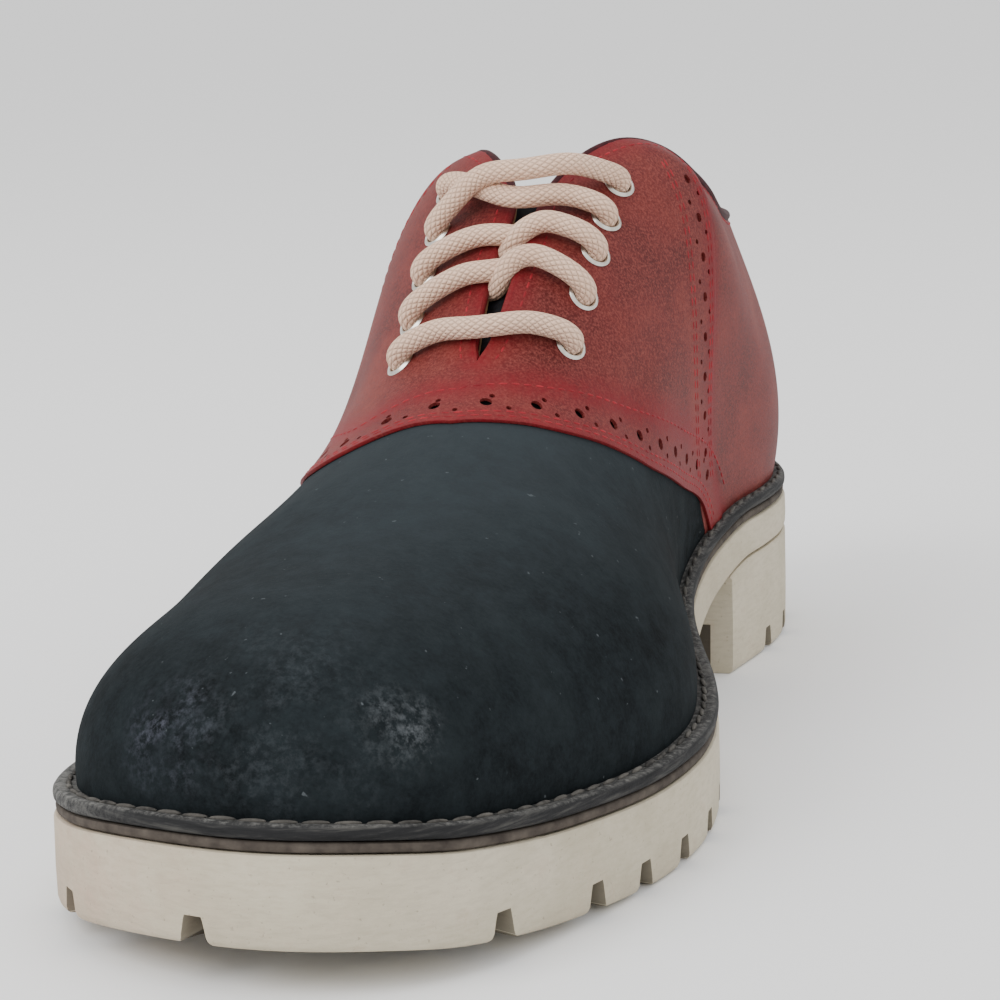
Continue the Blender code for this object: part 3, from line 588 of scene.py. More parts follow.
def drop(cutters):
    for cutter in cutters:
        bpy.data.objects.remove(cutter, do_unlink=True)


def add_panel(bm, side, columns, rows, share_of):
    """One side's panel; share_of turns (0 front to 1 back, rise) into a share of the foot line."""

    def place(x, y):
        across = x if side == INNER else 1 - x
        rise = TUCK + (1 - TUCK) * y
        return leather(side, share_of(across, rise), rise)

    add_grid(bm, columns, rows, place)


def seam_line(count=300):
    """Front edge of the saddle from the outer side over the instep to the inner side."""
    rises = np.linspace(0.0, 1.0, count)
    outer = leather(OUTER, curve_of(SEAM, OUTER, rises), rises)
    inner = leather(INNER, curve_of(SEAM, INNER, rises), rises)
    return np.concatenate([outer, inner[-2::-1]])


def strip_line(side, count=200):
    rises = np.linspace(0.0, 1.0, count)
    return leather(side, curve_of(STRIP, side, rises), rises)


def edge_of(side, first, last, count=300):
    """Stretch of the leather's top edge between two shares of the foot line."""
    return leather(side, np.linspace(first, last, count), 1.0)


def spaced(line, pitch, start=0.0, end=0.0):
    """Points a pitch apart along a line, and the line's directions there."""
    run = np.concatenate([[0], np.cumsum(np.linalg.norm(np.diff(line, axis=0), axis=1))])
    count = max(int(round((run[-1] - start - end) / pitch)), 1)
    at = start + (np.arange(count) + 0.5) * (run[-1] - start - end) / count

    def on_line(where):
        return np.stack([np.interp(where, run, line[:, k]) for k in range(3)], axis=-1)

    ahead = on_line(at + 0.001) - on_line(at - 0.001)
    return on_line(at), ahead / np.linalg.norm(ahead, axis=-1, keepdims=True)


class Skin:
    """The outside of the leather, asked for its nearest place and its normal."""

    def __init__(self):
        bm = bmesh.new()
        for side in SIDES:
            add_panel(bm, side, 260, 90, lambda x, rise: x)
        bm.normal_update()
        self.tree = BVHTree.FromBMesh(bm)
        bm.free()

    def at(self, point):
        place, normal, _, _ = self.tree.find_nearest(Vector(point))
        return place, normal

    def beside(self, line, distance, towards):
        """Line moved sideways over the leather by a distance, towards a point's side."""
        last = len(line) - 1
        reach = max(last // 40, 1)
        moved = []
        for k, place in enumerate(line):
            along = Vector(line[min(k + reach, last)] - line[max(k - reach, 0)]).normalized()
            _, normal = self.at(place)
            across = normal.cross(along).normalized() * towards
            found, _ = self.at(Vector(place) + across * distance)
            if not moved or (found - moved[-1]).dot(along) > 0:
                moved.append(found)
        moved = np.array(moved)
        padded = np.concatenate([moved[:1]] * 4 + [moved] + [moved[-1:]] * 4)
        return np.stack([np.convolve(padded[:, k], np.full(9, 1 / 9), "valid") for k in range(3)], axis=-1)


class Batches:
    """Many small shapes made in short-lived meshes, so that each new one stays quick to add."""

    def __init__(self):
        self.whole, self.now = bmesh.new(), None

    def fresh(self):
        if self.now:
            mesh = bpy.data.meshes.new("batch")
            self.now.to_mesh(mesh)
            self.now.free()
            self.whole.from_mesh(mesh)
            bpy.data.meshes.remove(mesh)
        self.now = bmesh.new()
        return self.now

    def finish(self):
        self.fresh().free()
        self.now = None
        return self.whole


def add_stitches(batches, skin, line, pitch, length, thickness, lift, start=0.0, end=0.0):
    """Row of stitches on the leather, each a short thread sunk at its two ends."""
    points, ahead = spaced(line, pitch, start, end)
    for k, (point, along) in enumerate(zip(points, ahead)):
        if k % BATCH == 0:
            bm = batches.fresh()
        place, normal = skin.at(point)
        along = (Vector(along) - normal * normal.dot(Vector(along))).normalized()
        turn = Matrix((along, normal.cross(along), normal)).transposed().to_4x4()
        turn.translation = place + normal * lift
        size = Matrix.Diagonal((length / 2, thickness / 2, thickness * 0.35, 1))
        bmesh.ops.create_uvsphere(bm, u_segments=8, v_segments=6, radius=1, matrix=turn @ size)


def standing(point, normal):
    """Transform that stands a shape on a place, with its own Z along the normal."""
    turn = Vector((0, 0, 1)).rotation_difference(normal).to_matrix().to_4x4()
    turn.translation = point
    return turn


def add_peg(bm, point, normal, radius, depth, segments):
    bmesh.ops.create_cone(bm, cap_ends=True, segments=segments, radius1=radius, radius2=radius,
                          depth=depth, matrix=standing(point, normal))


def add_holes(batches, skin, line, pitch, diameter, start=0.0, end=0.0, segments=14):
    """Pegs for a row of holes through the leather."""
    points, _ = spaced(line, pitch, start, end)
    bm = batches.fresh()
    for point in points:
        add_peg(bm, *skin.at(point), diameter / 2, HOLE_DEPTH, segments)


def eyelet_cutter(name, radius, segments):
    """Pegs where the eyelets pass through the leather."""
    bm = bmesh.new()
    for point, normal, _ in eyelet_places().values():
        add_peg(bm, point, normal, radius, EYELET_HOLE_DEPTH, segments)
    return cutter_from(bm, name)


def eyelet_places():
    """Places of the eyelets: (side, row) to (point, normal, share of the foot line)."""
    shares = np.linspace(0.1, 0.95, 400)
    along = section("along", shares)
    places = {}
    for side in SIDES:
        for row, place in enumerate(np.linspace(*EYELET_ALONG[side], EYELET_ROWS)):
            share = float(np.interp(place, along, shares))
            rise = rise_from_top(side, share, EYELET_FROM_SLIT[side])
            point = last_point(side, share, rise) - CENTRE
            places[side, row] = (Vector(point), Vector(last_normal(side, share, rise)), share)
    return places


def rise_from_top(side, share, distance):
    """Rise of the place that lies a distance down the section from the leather's edge."""
    rises = np.linspace(1, 0.2, 120)
    line = last_point(side, np.full(rises.shape, share), rises)
    run = np.concatenate([[0], np.cumsum(np.linalg.norm(np.diff(line, axis=0), axis=1))])
    return float(np.interp(distance, run, rises))


def below_edge(side, shares, distance, lift):
    """Line on the leather a distance below its top edge, lifted off it."""
    line = []
    for share in shares:
        rise = rise_from_top(side, share, distance + float(trim(side, share)))
        line.append(last_point(side, share, rise) + last_normal(side, share, rise) * lift - CENTRE)
    return np.array(line)


def tube_along(bm, points, radius, around, step, squash=None):
    """Tube along a smooth route: a grid bent round it and closed at its ends.

    squash holds a normal and the share of the thickness kept along it, for each point.
    """
    points = np.array(points, float)
    knots = np.concatenate([[0], np.cumsum(np.linalg.norm(np.diff(points, axis=0), axis=1))])
    count = max(int(knots[-1] / step), 4)
    at = np.linspace(0, knots[-1], count + 1)
    route = smooth(knots, points, at)
    heading = np.gradient(route, axis=0)
    heading /= np.linalg.norm(heading, axis=1, keepdims=True)
    first = np.zeros((count + 1, 3))
    side = np.cross(heading[0], (0.13, 0.21, 0.97))
    for k in range(count + 1):
        side = side - heading[k] * side.dot(heading[k])
        side /= np.linalg.norm(side)
        first[k] = side
    second = np.cross(heading, first)

    def place(x, y):
        k = np.clip(np.rint(x * count).astype(int), 0, count)
        turn = y * 2 * math.pi
        ends = np.minimum(at[k], knots[-1] - at[k]) / radius
        size = radius * np.sqrt(np.clip(1 - (1 - np.clip(ends, 0, 1)) ** 2, 0.02, 1))
        out = first[k] * np.cos(turn)[:, None] + second[k] * np.sin(turn)[:, None]
        if squash is not None:
            normal, keep = squash
            across = smooth(knots, normal, at)[k]
            kept = np.interp(at, knots, keep)[k]
            across = across - heading[k] * (across * heading[k]).sum(1, keepdims=True)
            across /= np.maximum(np.linalg.norm(across, axis=1, keepdims=True), 1e-6)
            out = out - across * ((1 - kept) * (out * across).sum(1))[:, None]
        return route[k] + out * size[:, None]

    route_map = bm.loops.layers.uv.get("route") or bm.loops.layers.uv.new("route")
    made = add_grid(bm, count, around, place, calc_uvs=True)
    for face in {face for vert in made for face in vert.link_faces}:
        for loop in face.loops:
            loop[route_map].uv.x *= knots[-1] * 1000
    bmesh.ops.remove_doubles(bm, verts=made, dist=0.000004)


def rim_points(side, share, rows, y, spread=extension):
    """Points of a sole layer's wall; rows hold (growth, height function), spread the edge's own reach."""
    k = np.clip(np.rint(y * (len(rows) - 1)).astype(int), 0, len(rows) - 1)
    growth = np.array([grow for grow, _ in rows])[k]
    points = np.zeros((len(share), 3))
    for each in SIDES:
        pick = side == each
        base, out = foot(each, share[pick])
        grown = base + out * (spread(share[pick]) + growth[pick])[:, None]
        heights = np.stack([height(grown[:, 1]) for _, height in rows], axis=-1)
        z = heights[np.arange(len(grown)), k[pick]]
        points[pick] = np.concatenate([grown, z[:, None]], axis=1)
    return points - CENTRE


def across_points(x, share, rows, y, spread=extension):
    """Points across a sole layer, from its outer wall at 0 to its inner wall at 1."""
    outer, inner = (rim_points(np.full(len(x), side), share, rows, y, spread) for side in (OUTER, INNER))
    return outer + (inner - outer) * x[:, None]


def close_layer(bm):
    bmesh.ops.remove_doubles(bm, verts=bm.verts, dist=JOIN)
    bmesh.ops.recalc_face_normals(bm, faces=bm.faces)


def slab(bm, rows, first=0.0, columns=320, across=14):
    """Closed sole layer: its wall, its two faces and, where it starts behind the toe, its front."""
    half = columns // 2

    def share_at(x):
        if first == 0:
            return np.interp(x, np.linspace(0, 1, half + 1), station_shares(count=half))
        return first + (1 - first) * x

    for side in SIDES:
        add_grid(bm, half, len(rows) - 1,
                 lambda x, y: rim_points(np.full(len(x), side), share_at(x), rows, y))
    for level in (0.0, 1.0):
        add_grid(bm, across, half,
                 lambda x, y: across_points(x, share_at(y), rows, np.full(len(x), level)))
    if first:
        add_grid(bm, across, len(rows) - 1,
                 lambda x, y: across_points(x, np.full(len(x), first), rows, y))
    close_layer(bm)


def flush(share):
    """No reach past the foot line."""
    return 0 * share


def flush_slab(bm, rows, columns=240, across=14):
    """Closed plate whose rows grow from the foot line itself."""
    half = columns // 2
    stations = station_shares(count=half)

    def share_at(x):
        return np.interp(x, np.linspace(0, 1, half + 1), stations)

    def wall(x, y):
        return rim_points(np.where(x < 0.5, OUTER, INNER), share_at(np.abs(2 * x - 1)), rows, y, flush)

    add_grid(bm, columns, len(rows) - 1, wall)
    for level in (0.0, 1.0):
        add_grid(bm, across, half,
                 lambda x, y: across_points(x, share_at(y), rows, np.full(len(x), level), flush))
    close_layer(bm)


def slot_shares(side, first_along, last_along):
    """Shares of the foot line for the slots of one side, between two shares of the last's length."""
    shares, line, run = FOOT_LINES[side]
    places = list(FIRST_SLOTS[side])
    while places[-1] + SLOT_PITCH < run:
        places.append(places[-1] + SLOT_PITCH)
    found = [place / run for place in places]
    along = [float(np.interp(share, shares, line[:, 1])) / LAST_LENGTH for share in found]
    return [share for share, a in zip(found, along) if first_along <= a <= last_along]


def add_block(bm, centre, out, width, depth, bottom, top, shape=SLOT_SHAPE):
    """Block standing at a place in plan, its depth along a direction; shape gives its widths."""
    out = np.array((out[0], out[1], 0)) / math.hypot(out[0], out[1])
    across = np.array((-out[1], out[0], 0))
    foot_point = np.array((centre[0], centre[1], 0)) - CENTRE
    heights, widths = np.array(shape).T

    def place(x, y):
        corner, level = np.rint(x * 4).astype(int) % 4, np.rint(y * (len(shape) - 1)).astype(int)
        a = np.array((-0.5, 0.5, 0.5, -0.5))[corner] * depth
        b = np.array((-0.5, -0.5, 0.5, 0.5))[corner] * width * widths[level]
        up = bottom + (top - bottom) * heights[level]
        return foot_point + out * a[:, None] + across * b[:, None] + np.array((0, 0, 1)) * up[:, None]

    made = add_grid(bm, 4, len(shape) - 1, place)
    bmesh.ops.remove_doubles(bm, verts=made, dist=JOIN)
    rims = {edge for vert in made if vert.is_valid for edge in vert.link_edges if edge.is_boundary}
    bmesh.ops.holes_fill(bm, edges=list(rims), sides=0)


def slot_cutter(name, first_along, last_along, under):
    bm = bmesh.new()
    for side in SIDES:
        for share in slot_shares(side, first_along, last_along):
            point, out = foot(side, share)
            depth = SLOT_DEPTH + 0.002
            middle = point + out * (float(extension(share)) + 0.002 - depth / 2)
            ground = float(under(point[1]))
            add_block(bm, middle, out, SLOT_WIDTH, depth, ground - 0.002, ground + SLOT_HEIGHT)
    return cutter_from(bm, name)


def groove_cutter(name):
    bm = bmesh.new()
    inset = SLOT_DEPTH + CHANNEL_WIDTH / 2
    first, last = LUGS_ALONG
    for k in range(int((last - first) * LAST_LENGTH / SLOT_PITCH) + 1):
        y = first * LAST_LENGTH + k * SLOT_PITCH
        ends = {}
        for side in SIDES:
            shares, line, _ = FOOT_LINES[side]
            share = float(np.interp(y, line[:, 1], shares))
            ends[side] = side * (side * float(foot(side, share)[0][0]) + float(extension(share)) - inset)
        middle = ((ends[INNER] + ends[OUTER]) / 2, y)
        ground = float(sole_under(y))
        add_block(bm, middle, (1, 0), SLOT_WIDTH, ends[INNER] - ends[OUTER], ground - 0.002,
                  ground + SLOT_HEIGHT, GROOVE_SHAPE)
    return cutter_from(bm, name)


def channel_cutter(name):
    """Groove that runs round the tread between the edge lugs and the middle."""
    rows = [
        (-SLOT_DEPTH, lambda y: sole_under(y) - 0.002),
        (-SLOT_DEPTH, lambda y: sole_under(y) + SLOT_HEIGHT),
        (-SLOT_DEPTH - CHANNEL_WIDTH, lambda y: sole_under(y) + SLOT_HEIGHT),
        (-SLOT_DEPTH - CHANNEL_WIDTH, lambda y: sole_under(y) - 0.002),
    ]
    bm = bmesh.new()

    def place(x, y):
        share = np.abs(2 * x - 1) * CHANNEL_END
        corner = np.rint(y * 4).astype(int) % 4
        return rim_points(np.where(x < 0.5, OUTER, INNER), share, rows, corner / 3)

    add_grid(bm, 120, 4, place)
    bmesh.ops.remove_doubles(bm, verts=bm.verts, dist=JOIN)
    bmesh.ops.holes_fill(bm, edges=[e for e in bm.edges if e.is_boundary], sides=0)
    return cutter_from(bm, name)


def linear(code):
    """sRGB hex value as linear red, green and blue."""
    parts = [int(code[k : k + 2], 16) / 255 for k in (1, 3, 5)]
    return tuple(v / 12.92 if v <= 0.04045 else ((v + 0.055) / 1.055) ** 2.4 for v in parts)


def add(tree, kind, links=None, out=0, stops=(), **settings):
    """Output of a new node. links go from an input's name or number to an output or a plain value,
    and stops are a ramp's places with their colours or levels."""
    made = tree.nodes.new("ShaderNode" + kind)
    for name, value in settings.items():
        setattr(made, name, value)
    for name, value in (links or {}).items():
        if isinstance(value, bpy.types.NodeSocket):
            tree.links.new(value, made.inputs[name])
        else:
            made.inputs[name].default_value = (*linear(value), 1) if isinstance(value, str) else value
    if stops:
        elements = made.color_ramp.elements
        while len(elements) < len(stops):
            elements.new(0.5)
        for element, (place, colour) in zip(elements, stops):
            element.position = place
            element.color = (*(linear(colour) if isinstance(colour, str) else (colour,) * 3), 1)
    return made.outputs[out]


def begin(name, roughness, **sockets):
    """New finish with its shader's own sockets set: its nodes, its shader and the place on the piece."""
    material = bpy.data.materials.new(name)
    material.use_nodes = True
    tree = material.node_tree
    shader = tree.nodes["Principled BSDF"]
    shader.inputs["Roughness"].default_value = roughness
    for socket, value in sockets.items():
        shader.inputs[socket.replace("_", " ")].default_value = value
    return tree, shader, add(tree, "TexCoord", out="Object")


def clouds(tree, place, millimetres, detail=3, rough=0.6, stretch=(1, 1, 1), warp=0.0):
    """Cloudy pattern whose clouds are about so many millimetres across."""
    mapped = add(tree, "Mapping", {"Vector": place, "Scale": stretch})
    return add(tree, "TexNoise", {"Vector": mapped, "Scale": 1000 / millimetres, "Detail": detail,
                                  "Roughness": rough, "Distortion": warp}, out="Fac")


def rising(tree, value, start, end):
    """0 up to where a value is at its start, softly rising to 1 at its end."""
    links = {"Value": value, "From Min": start, "From Max": end}
    return add(tree, "MapRange", links, interpolation_type="SMOOTHSTEP")


def spot(tree, place, centre, radius):
    """1 at a place in metres, falling to 0 at a radius from it."""
    gap = add(tree, "VectorMath", {0: place, 1: centre}, out="Value", operation="DISTANCE")
    return rising(tree, gap, radius, 0.0)


def overlap(tree, first, *others):
    """Product of several masks."""
    for other in others:
        first = add(tree, "Math", {0: first, 1: other}, operation="MULTIPLY")
    return first


def lay(tree, base, colour, mask, stops=()):
    """Lays a colour over the base where a mask is, or where its levels at two stops put it."""
    if stops:
        mask = add(tree, "ValToRGB", {0: mask}, stops=stops)
    return add(tree, "Mix", {0: mask, 6: base, 7: colour}, out=2, data_type="RGBA")


def dress(tree, shader, colour, reliefs):
    """Gives the shader its colour and its reliefs, each (height, millimetres, strength)."""
    tree.links.new(colour, shader.inputs["Base Color"])
    links = {}
    for height, millimetres, strength in reliefs:
        links.update({"Height": height, "Distance": millimetres / 1000, "Strength": strength})
        links["Normal"] = add(tree, "Bump", links)
    tree.links.new(links["Normal"], shader.inputs["Normal"])


def make_nubuck():
    """Dark calf nubuck, sanded to a short nap: matt, cloudy where the nap lies over, dusty at the toe, and
    painted lighter towards the top, where light from above falls.
    """
    tree, shader, place = begin("nubuck_calf", 0.9, Specular_IOR_Level=0.05)
    base = add(tree, "ValToRGB", {0: clouds(tree, place, 24, 4, warp=0.6)},
               stops=((0.3, "#0b0d0e"), (0.5, "#131719"), (0.72, "#1d2224")))
    patches = clouds(tree, place, 5, 5, 0.65)
    base = lay(tree, base, "#242a2d", patches, ((0.42, 0.0), (0.75, 0.6)))
    nap = clouds(tree, place, 0.9, 4, 0.7)
    base = lay(tree, base, "#2b3235", nap, ((0.35, 0.0), (0.8, 0.35)))
    dust = add(tree, "ValToRGB", {0: clouds(tree, place, 1.5, 6, 0.75)}, stops=((0.44, 0.0), (0.66, 1.0)))
    broken = add(tree, "ValToRGB", {0: clouds(tree, place, 8, 4)}, stops=((0.40, 0.15), (0.60, 1.0)))
    for centre, radius, amount, tint in TOE_SCUFFS:
        base = lay(tree, base, tint, overlap(tree, spot(tree, place, centre, radius), dust, broken, amount))
    base = lay(tree, base, "#6a7074", clouds(tree, place, 1.6, 2, 0.4), ((0.745, 0.0), (0.78, 0.4)))
    # painted highlight: the nubuck is made lighter with height, for light falling from above
    height = add(tree, "SeparateXYZ", {0: place}, out=2)
    base = lay(tree, base, "#40474b", overlap(tree, rising(tree, height, 0.040, 0.078), 0.5))
    dress(tree, shader, base, ((nap, 0.16, 0.6), (patches, 0.3, 0.4)))


def make_red_leather():
    """Waxed red leather, milled: brown where the wax lies, crimson where it is rubbed and at edges."""
    tree, shader, place = begin("waxed_red_leather", 0.6, Specular_IOR_Level=0.12)
    rub = add(tree, "Attribute", out="Fac", attribute_name="rub")
    base = add(tree, "ValToRGB", {0: clouds(tree, place, 18, 4, warp=0.4)},
               stops=((0.3, "#471a1a"), (0.52, "#5e2322"), (0.75, "#713029")))
    grain = clouds(tree, place, 0.55, 4, 0.7)
    base = lay(tree, base, "#8e4b44", grain, ((0.42, 0.0), (0.66, 0.7)))
    veins = clouds(tree, place, 0.9, 5, 0.75, warp=0.8)
    base = lay(tree, base, "#4b1618", veins, ((0.5, 0.0), (0.66, 0.55)))
    broken = add(tree, "ValToRGB", {0: clouds(tree, place, 2.4, 5, 0.7)}, stops=((0.3, 0.4), (0.7, 1.0)))
    base = lay(tree, base, "#730f1b", overlap(tree, rub, broken))
    dull = add(tree, "ValToRGB", {0: grain}, stops=((0.3, 0.46), (0.7, 0.66)))
    tree.links.new(dull, shader.inputs["Roughness"])
    dress(tree, shader, base, ((grain, 0.12, 0.6), (veins, 0.14, 0.45)))


def make_cream_rubber():
    """Moulded rubber: off-white, matt, with fine level lines, specks of grit, a brown tint in places and
    painted shade inside the slots.
    """
    tree, shader, place = begin("moulded_cream_rubber", 0.75, Specular_IOR_Level=0.3)
    base = add(tree, "ValToRGB", {0: clouds(tree, place, 24, 4)},
               stops=((0.3, "#aca28d"), (0.5, "#bab19c"), (0.72, "#c6bda9")))
    patchy = add(tree, "ValToRGB", {0: clouds(tree, place, 9, 5, 0.7)}, stops=((0.35, 0.2), (0.65, 0.9)))
    tinted = overlap(tree, spot(tree, place, (-0.040, -0.140, 0.022), 0.050), patchy)
    base = lay(tree, base, "#b79f8d", tinted)
    lines = clouds(tree, place, 0.9, stretch=(0.25, 0.25, 1))
    base = lay(tree, base, "#9c917d", lines, ((0.42, 0.0), (0.7, 0.3)))
    base = lay(tree, base, "#a8947f", clouds(tree, place, 6, 5, 0.7), ((0.54, 0.0), (0.74, 0.35)))
    base = lay(tree, base, "#857b6c", clouds(tree, place, 0.8), ((0.64, 0.0), (0.74, 0.6)))
    # painted shade: darker rubber inside the slots and grooves, where shade falls
    base = lay(tree, base, "#4a443b", add(tree, "Attribute", out="Fac", attribute_name="inset"))
    dress(tree, shader, base, ((lines, 0.25, 0.6), (clouds(tree, place, 0.6), 0.10, 0.5)))


def make_plain(name, dark, light, roughness, millimetres=4.0, depth=0.08, **sockets):
    """Evenly worn finish: two shades of one colour in clouds, with a fine relief."""
    tree, shader, place = begin(name, roughness, **sockets)
    base = add(tree, "ValToRGB", {0: clouds(tree, place, millimetres, 4)},
               stops=((0.32, dark), (0.68, light)))
    dress(tree, shader, base, ((clouds(tree, place, millimetres / 4), depth, 0.6),))


def make_welt():
    """Split-leather welt, dyed grey-black: level streaks on its edge, dust in the corner on top."""
    tree, shader, place = begin("dyed_welt_leather", 0.72, Specular_IOR_Level=0.2)
    streaks = clouds(tree, place, 1.2, 4, 0.7, stretch=(0.08, 0.08, 1))
    base = add(tree, "ValToRGB", {0: streaks},
               stops=((0.32, "#0f1011"), (0.52, "#212122"), (0.72, "#454441")))
    dust = clouds(tree, place, 1.2, 5, 0.75)
    up = add(tree, "SeparateXYZ", {0: add(tree, "NewGeometry", out="Normal")}, out=2)
    level = add(tree, "ValToRGB", {0: up}, stops=((0.6, 0.0), (0.95, 1.0)))
    speckled = add(tree, "ValToRGB", {0: dust}, stops=((0.45, 0.1), (0.66, 0.85)))
    base = lay(tree, base, "#6c6b68", overlap(tree, level, speckled))
    grey = add(tree, "ValToRGB", {0: dust}, stops=((0.4, 0.0), (0.6, 0.8)))
    base = lay(tree, base, "#777672", overlap(tree, spot(tree, place, (-0.050, -0.125, 0.030), 0.045), grey))
    dress(tree, shader, base, ((streaks, 0.3, 0.8), (dust, 0.18, 0.6)))


def make_cord():
    """Round braided cotton lace, undyed: strands crossing in diamonds, with painted shade in the grooves
    between them.
    """
    tree, shader, place = begin("braided_cotton", 0.94, Sheen_Weight=0.1, Sheen_Roughness=0.5,
                                Specular_IOR_Level=0.2)
    route = add(tree, "UVMap", uv_map="route")
    # eleven half waves round the cord and one each 1.7 mm along it, as its strands cross
    around = overlap(tree, add(tree, "SeparateXYZ", {0: route}, out=1), 11 * math.pi)
    along = overlap(tree, add(tree, "SeparateXYZ", {0: route}), math.pi / 1.7)
    waves = []
    for operation in ("ADD", "SUBTRACT"):
        slope = add(tree, "Math", {0: around, 1: along}, operation=operation)
        waves.append(add(tree, "Math", {0: slope}, operation="SINE"))
    crossed = add(tree, "Math", {0: overlap(tree, *waves)}, operation="ABSOLUTE")
    strands = add(tree, "Math", {0: crossed, 1: 0.5}, operation="POWER")
    fibre = clouds(tree, place, 0.35)
    base = add(tree, "ValToRGB", {0: fibre}, stops=((0.3, "#dfb79c"), (0.7, "#f5d3ba")))
    # painted shade: darker colour in the grooves between the strands
    base = lay(tree, base, "#a98568", strands, ((0.05, 0.4), (0.6, 0.0)))
    base = lay(tree, base, "#c9a188", clouds(tree, place, 12, 3, 0.5), ((0.5, 0.0), (0.75, 0.4)))
    dress(tree, shader, base, ((strands, 0.40, 1.0), (fibre, 0.08, 0.6)))


def materials():
    """Every finish, made once."""
    if "nubuck_calf" not in bpy.data.materials:
        make_nubuck()
        make_red_leather()
        make_cream_rubber()
        make_welt()
        make_cord()
        # thin skin of harder rubber, taupe and slightly smoother than the sole
        make_plain("taupe_sole_skin", "#3a3430", "#575049", 0.8, Specular_IOR_Level=0.1)
        # vegetable-tanned lining leather, smooth and pale brown
        make_plain("tan_lining_leather", "#8a6a48", "#a98963", 0.58, 9)
        # black woven tongue cloth with a short nap; the same black on the backing sheet is painted shade in
        # the brogue holes
        make_plain("black_twill_and_hole_shade", "#0d0d0f", "#1b1b1f", 0.9, 1.2, 0.12, Specular_IOR_Level=0.15)
        # painted cut edge, near black and a little glossy
        make_plain("edge_paint", "#23090d", "#421118", 0.6, 3, Specular_IOR_Level=0.12)
        # waxed polyester thread, crimson, worn pale in places
        make_plain("red_thread", "#6d131b", "#9f2b32", 0.65, 5, Specular_IOR_Level=0.2)
        # waxed linen thread, grey with dust
        make_plain("grey_thread", "#262524", "#5f5c57", 0.85, 4, Specular_IOR_Level=0.2)
        # nickel-plated brass, tumbled: soft bright highlights
        make_plain("nickel_plate", "#b9b4aa", "#d8d4cc", 0.3, 2, 0.01, Metallic=1.0)
    return bpy.data.materials


def distances(piece, points, flat=False):
    """Distance of each vertex from the nearest of some points, in plan only if flat."""
    tree = KDTree(len(points))
    for k, point in enumerate(points):
        tree.insert(point, k)
    tree.balance()
    return np.array([tree.find((*v.co[:2], 0) if flat else v.co)[2] for v in piece.data.vertices])


def rub_near(piece, lines, reach):
    """Marks the leather near its edges and seams, where the wax is rubbed off."""
    values = np.clip(1 - distances(piece, np.concatenate(lines)) / reach, 0, 1) ** 1.2
    piece.data.attributes.new("rub", "FLOAT", "POINT").data.foreach_set("value", values)


def paint_shade_inside(piece, below, above):
    """Marks the rubber that lies inside the side wall between two heights, where painted shade darkens the
    slots and grooves.
    """
    rim = []
    for side in SIDES:
        shares = np.linspace(0, 1, 1500)
        base, out = foot(side, shares)
        rim.append(base + out * extension(shares)[:, None])
    rim = np.concatenate(rim) - CENTRE[:2]
    inside = distances(piece, np.concatenate([rim, np.zeros((len(rim), 1))], axis=1), flat=True)
    marks = piece.data.attributes.new("inset", "FLOAT", "CORNER").data
    for face in piece.data.polygons:
        nearest, farthest = (pick(inside[vertex] for vertex in face.vertices) for pick in (min, max))
        hidden = nearest > 0.0010 or farthest > 0.0060
        if hidden and face.normal.z > -0.7 and below < face.center.z < above:
            for corner, vertex in zip(face.loop_indices, face.vertices):
                marks[corner].value = min(0.55 + inside[vertex] / 0.010, 1.0)


class ShoeSizes(bpy.types.PropertyGroup):
    hole: FloatProperty(
        name="Hole", description="Diameter of a large brogue hole", default=0.0025, unit="LENGTH")
    pinhole: FloatProperty(
        name="Pinhole", description="Diameter of a small brogue hole", default=0.0012, unit="LENGTH")
    hole_pitch: FloatProperty(
        name="Hole spacing", description="Distance between large brogue holes", default=0.0104, unit="LENGTH")
    band: FloatProperty(
        name="Brogue band", description="Width of the pierced band along the saddle's edges",
        default=0.0118, unit="LENGTH")
    stitch: FloatProperty(
        name="Stitch", description="Length from one stitch to the next", default=0.0025, unit="LENGTH")
    thread: FloatProperty(
        name="Thread", description="Thickness of the sewing thread", default=0.00055, unit="LENGTH")
    welt_stitch: FloatProperty(
        name="Welt stitch", description="Length from one welt stitch to the next", default=0.0052,
        unit="LENGTH")
    welt_thread: FloatProperty(
        name="Welt thread", description="Thickness of the welt thread", default=0.0009, unit="LENGTH")
    lace: FloatProperty(
        name="Lace", description="Diameter of the round lace", default=0.0046, unit="LENGTH")
    eyelet: FloatProperty(
        name="Eyelet", description="Diameter of an eyelet's flange", default=0.0070, unit="LENGTH")
    eyelet_hole: FloatProperty(
        name="Eyelet hole", description="Clear hole through an eyelet", default=0.0050, unit="LENGTH")


class ShoeColours(bpy.types.PropertyGroup):
    floor: FloatVectorProperty(
        name="Floor", description="Colour of the floor", subtype="COLOR", size=3, default=(0.90, 0.90, 0.90))


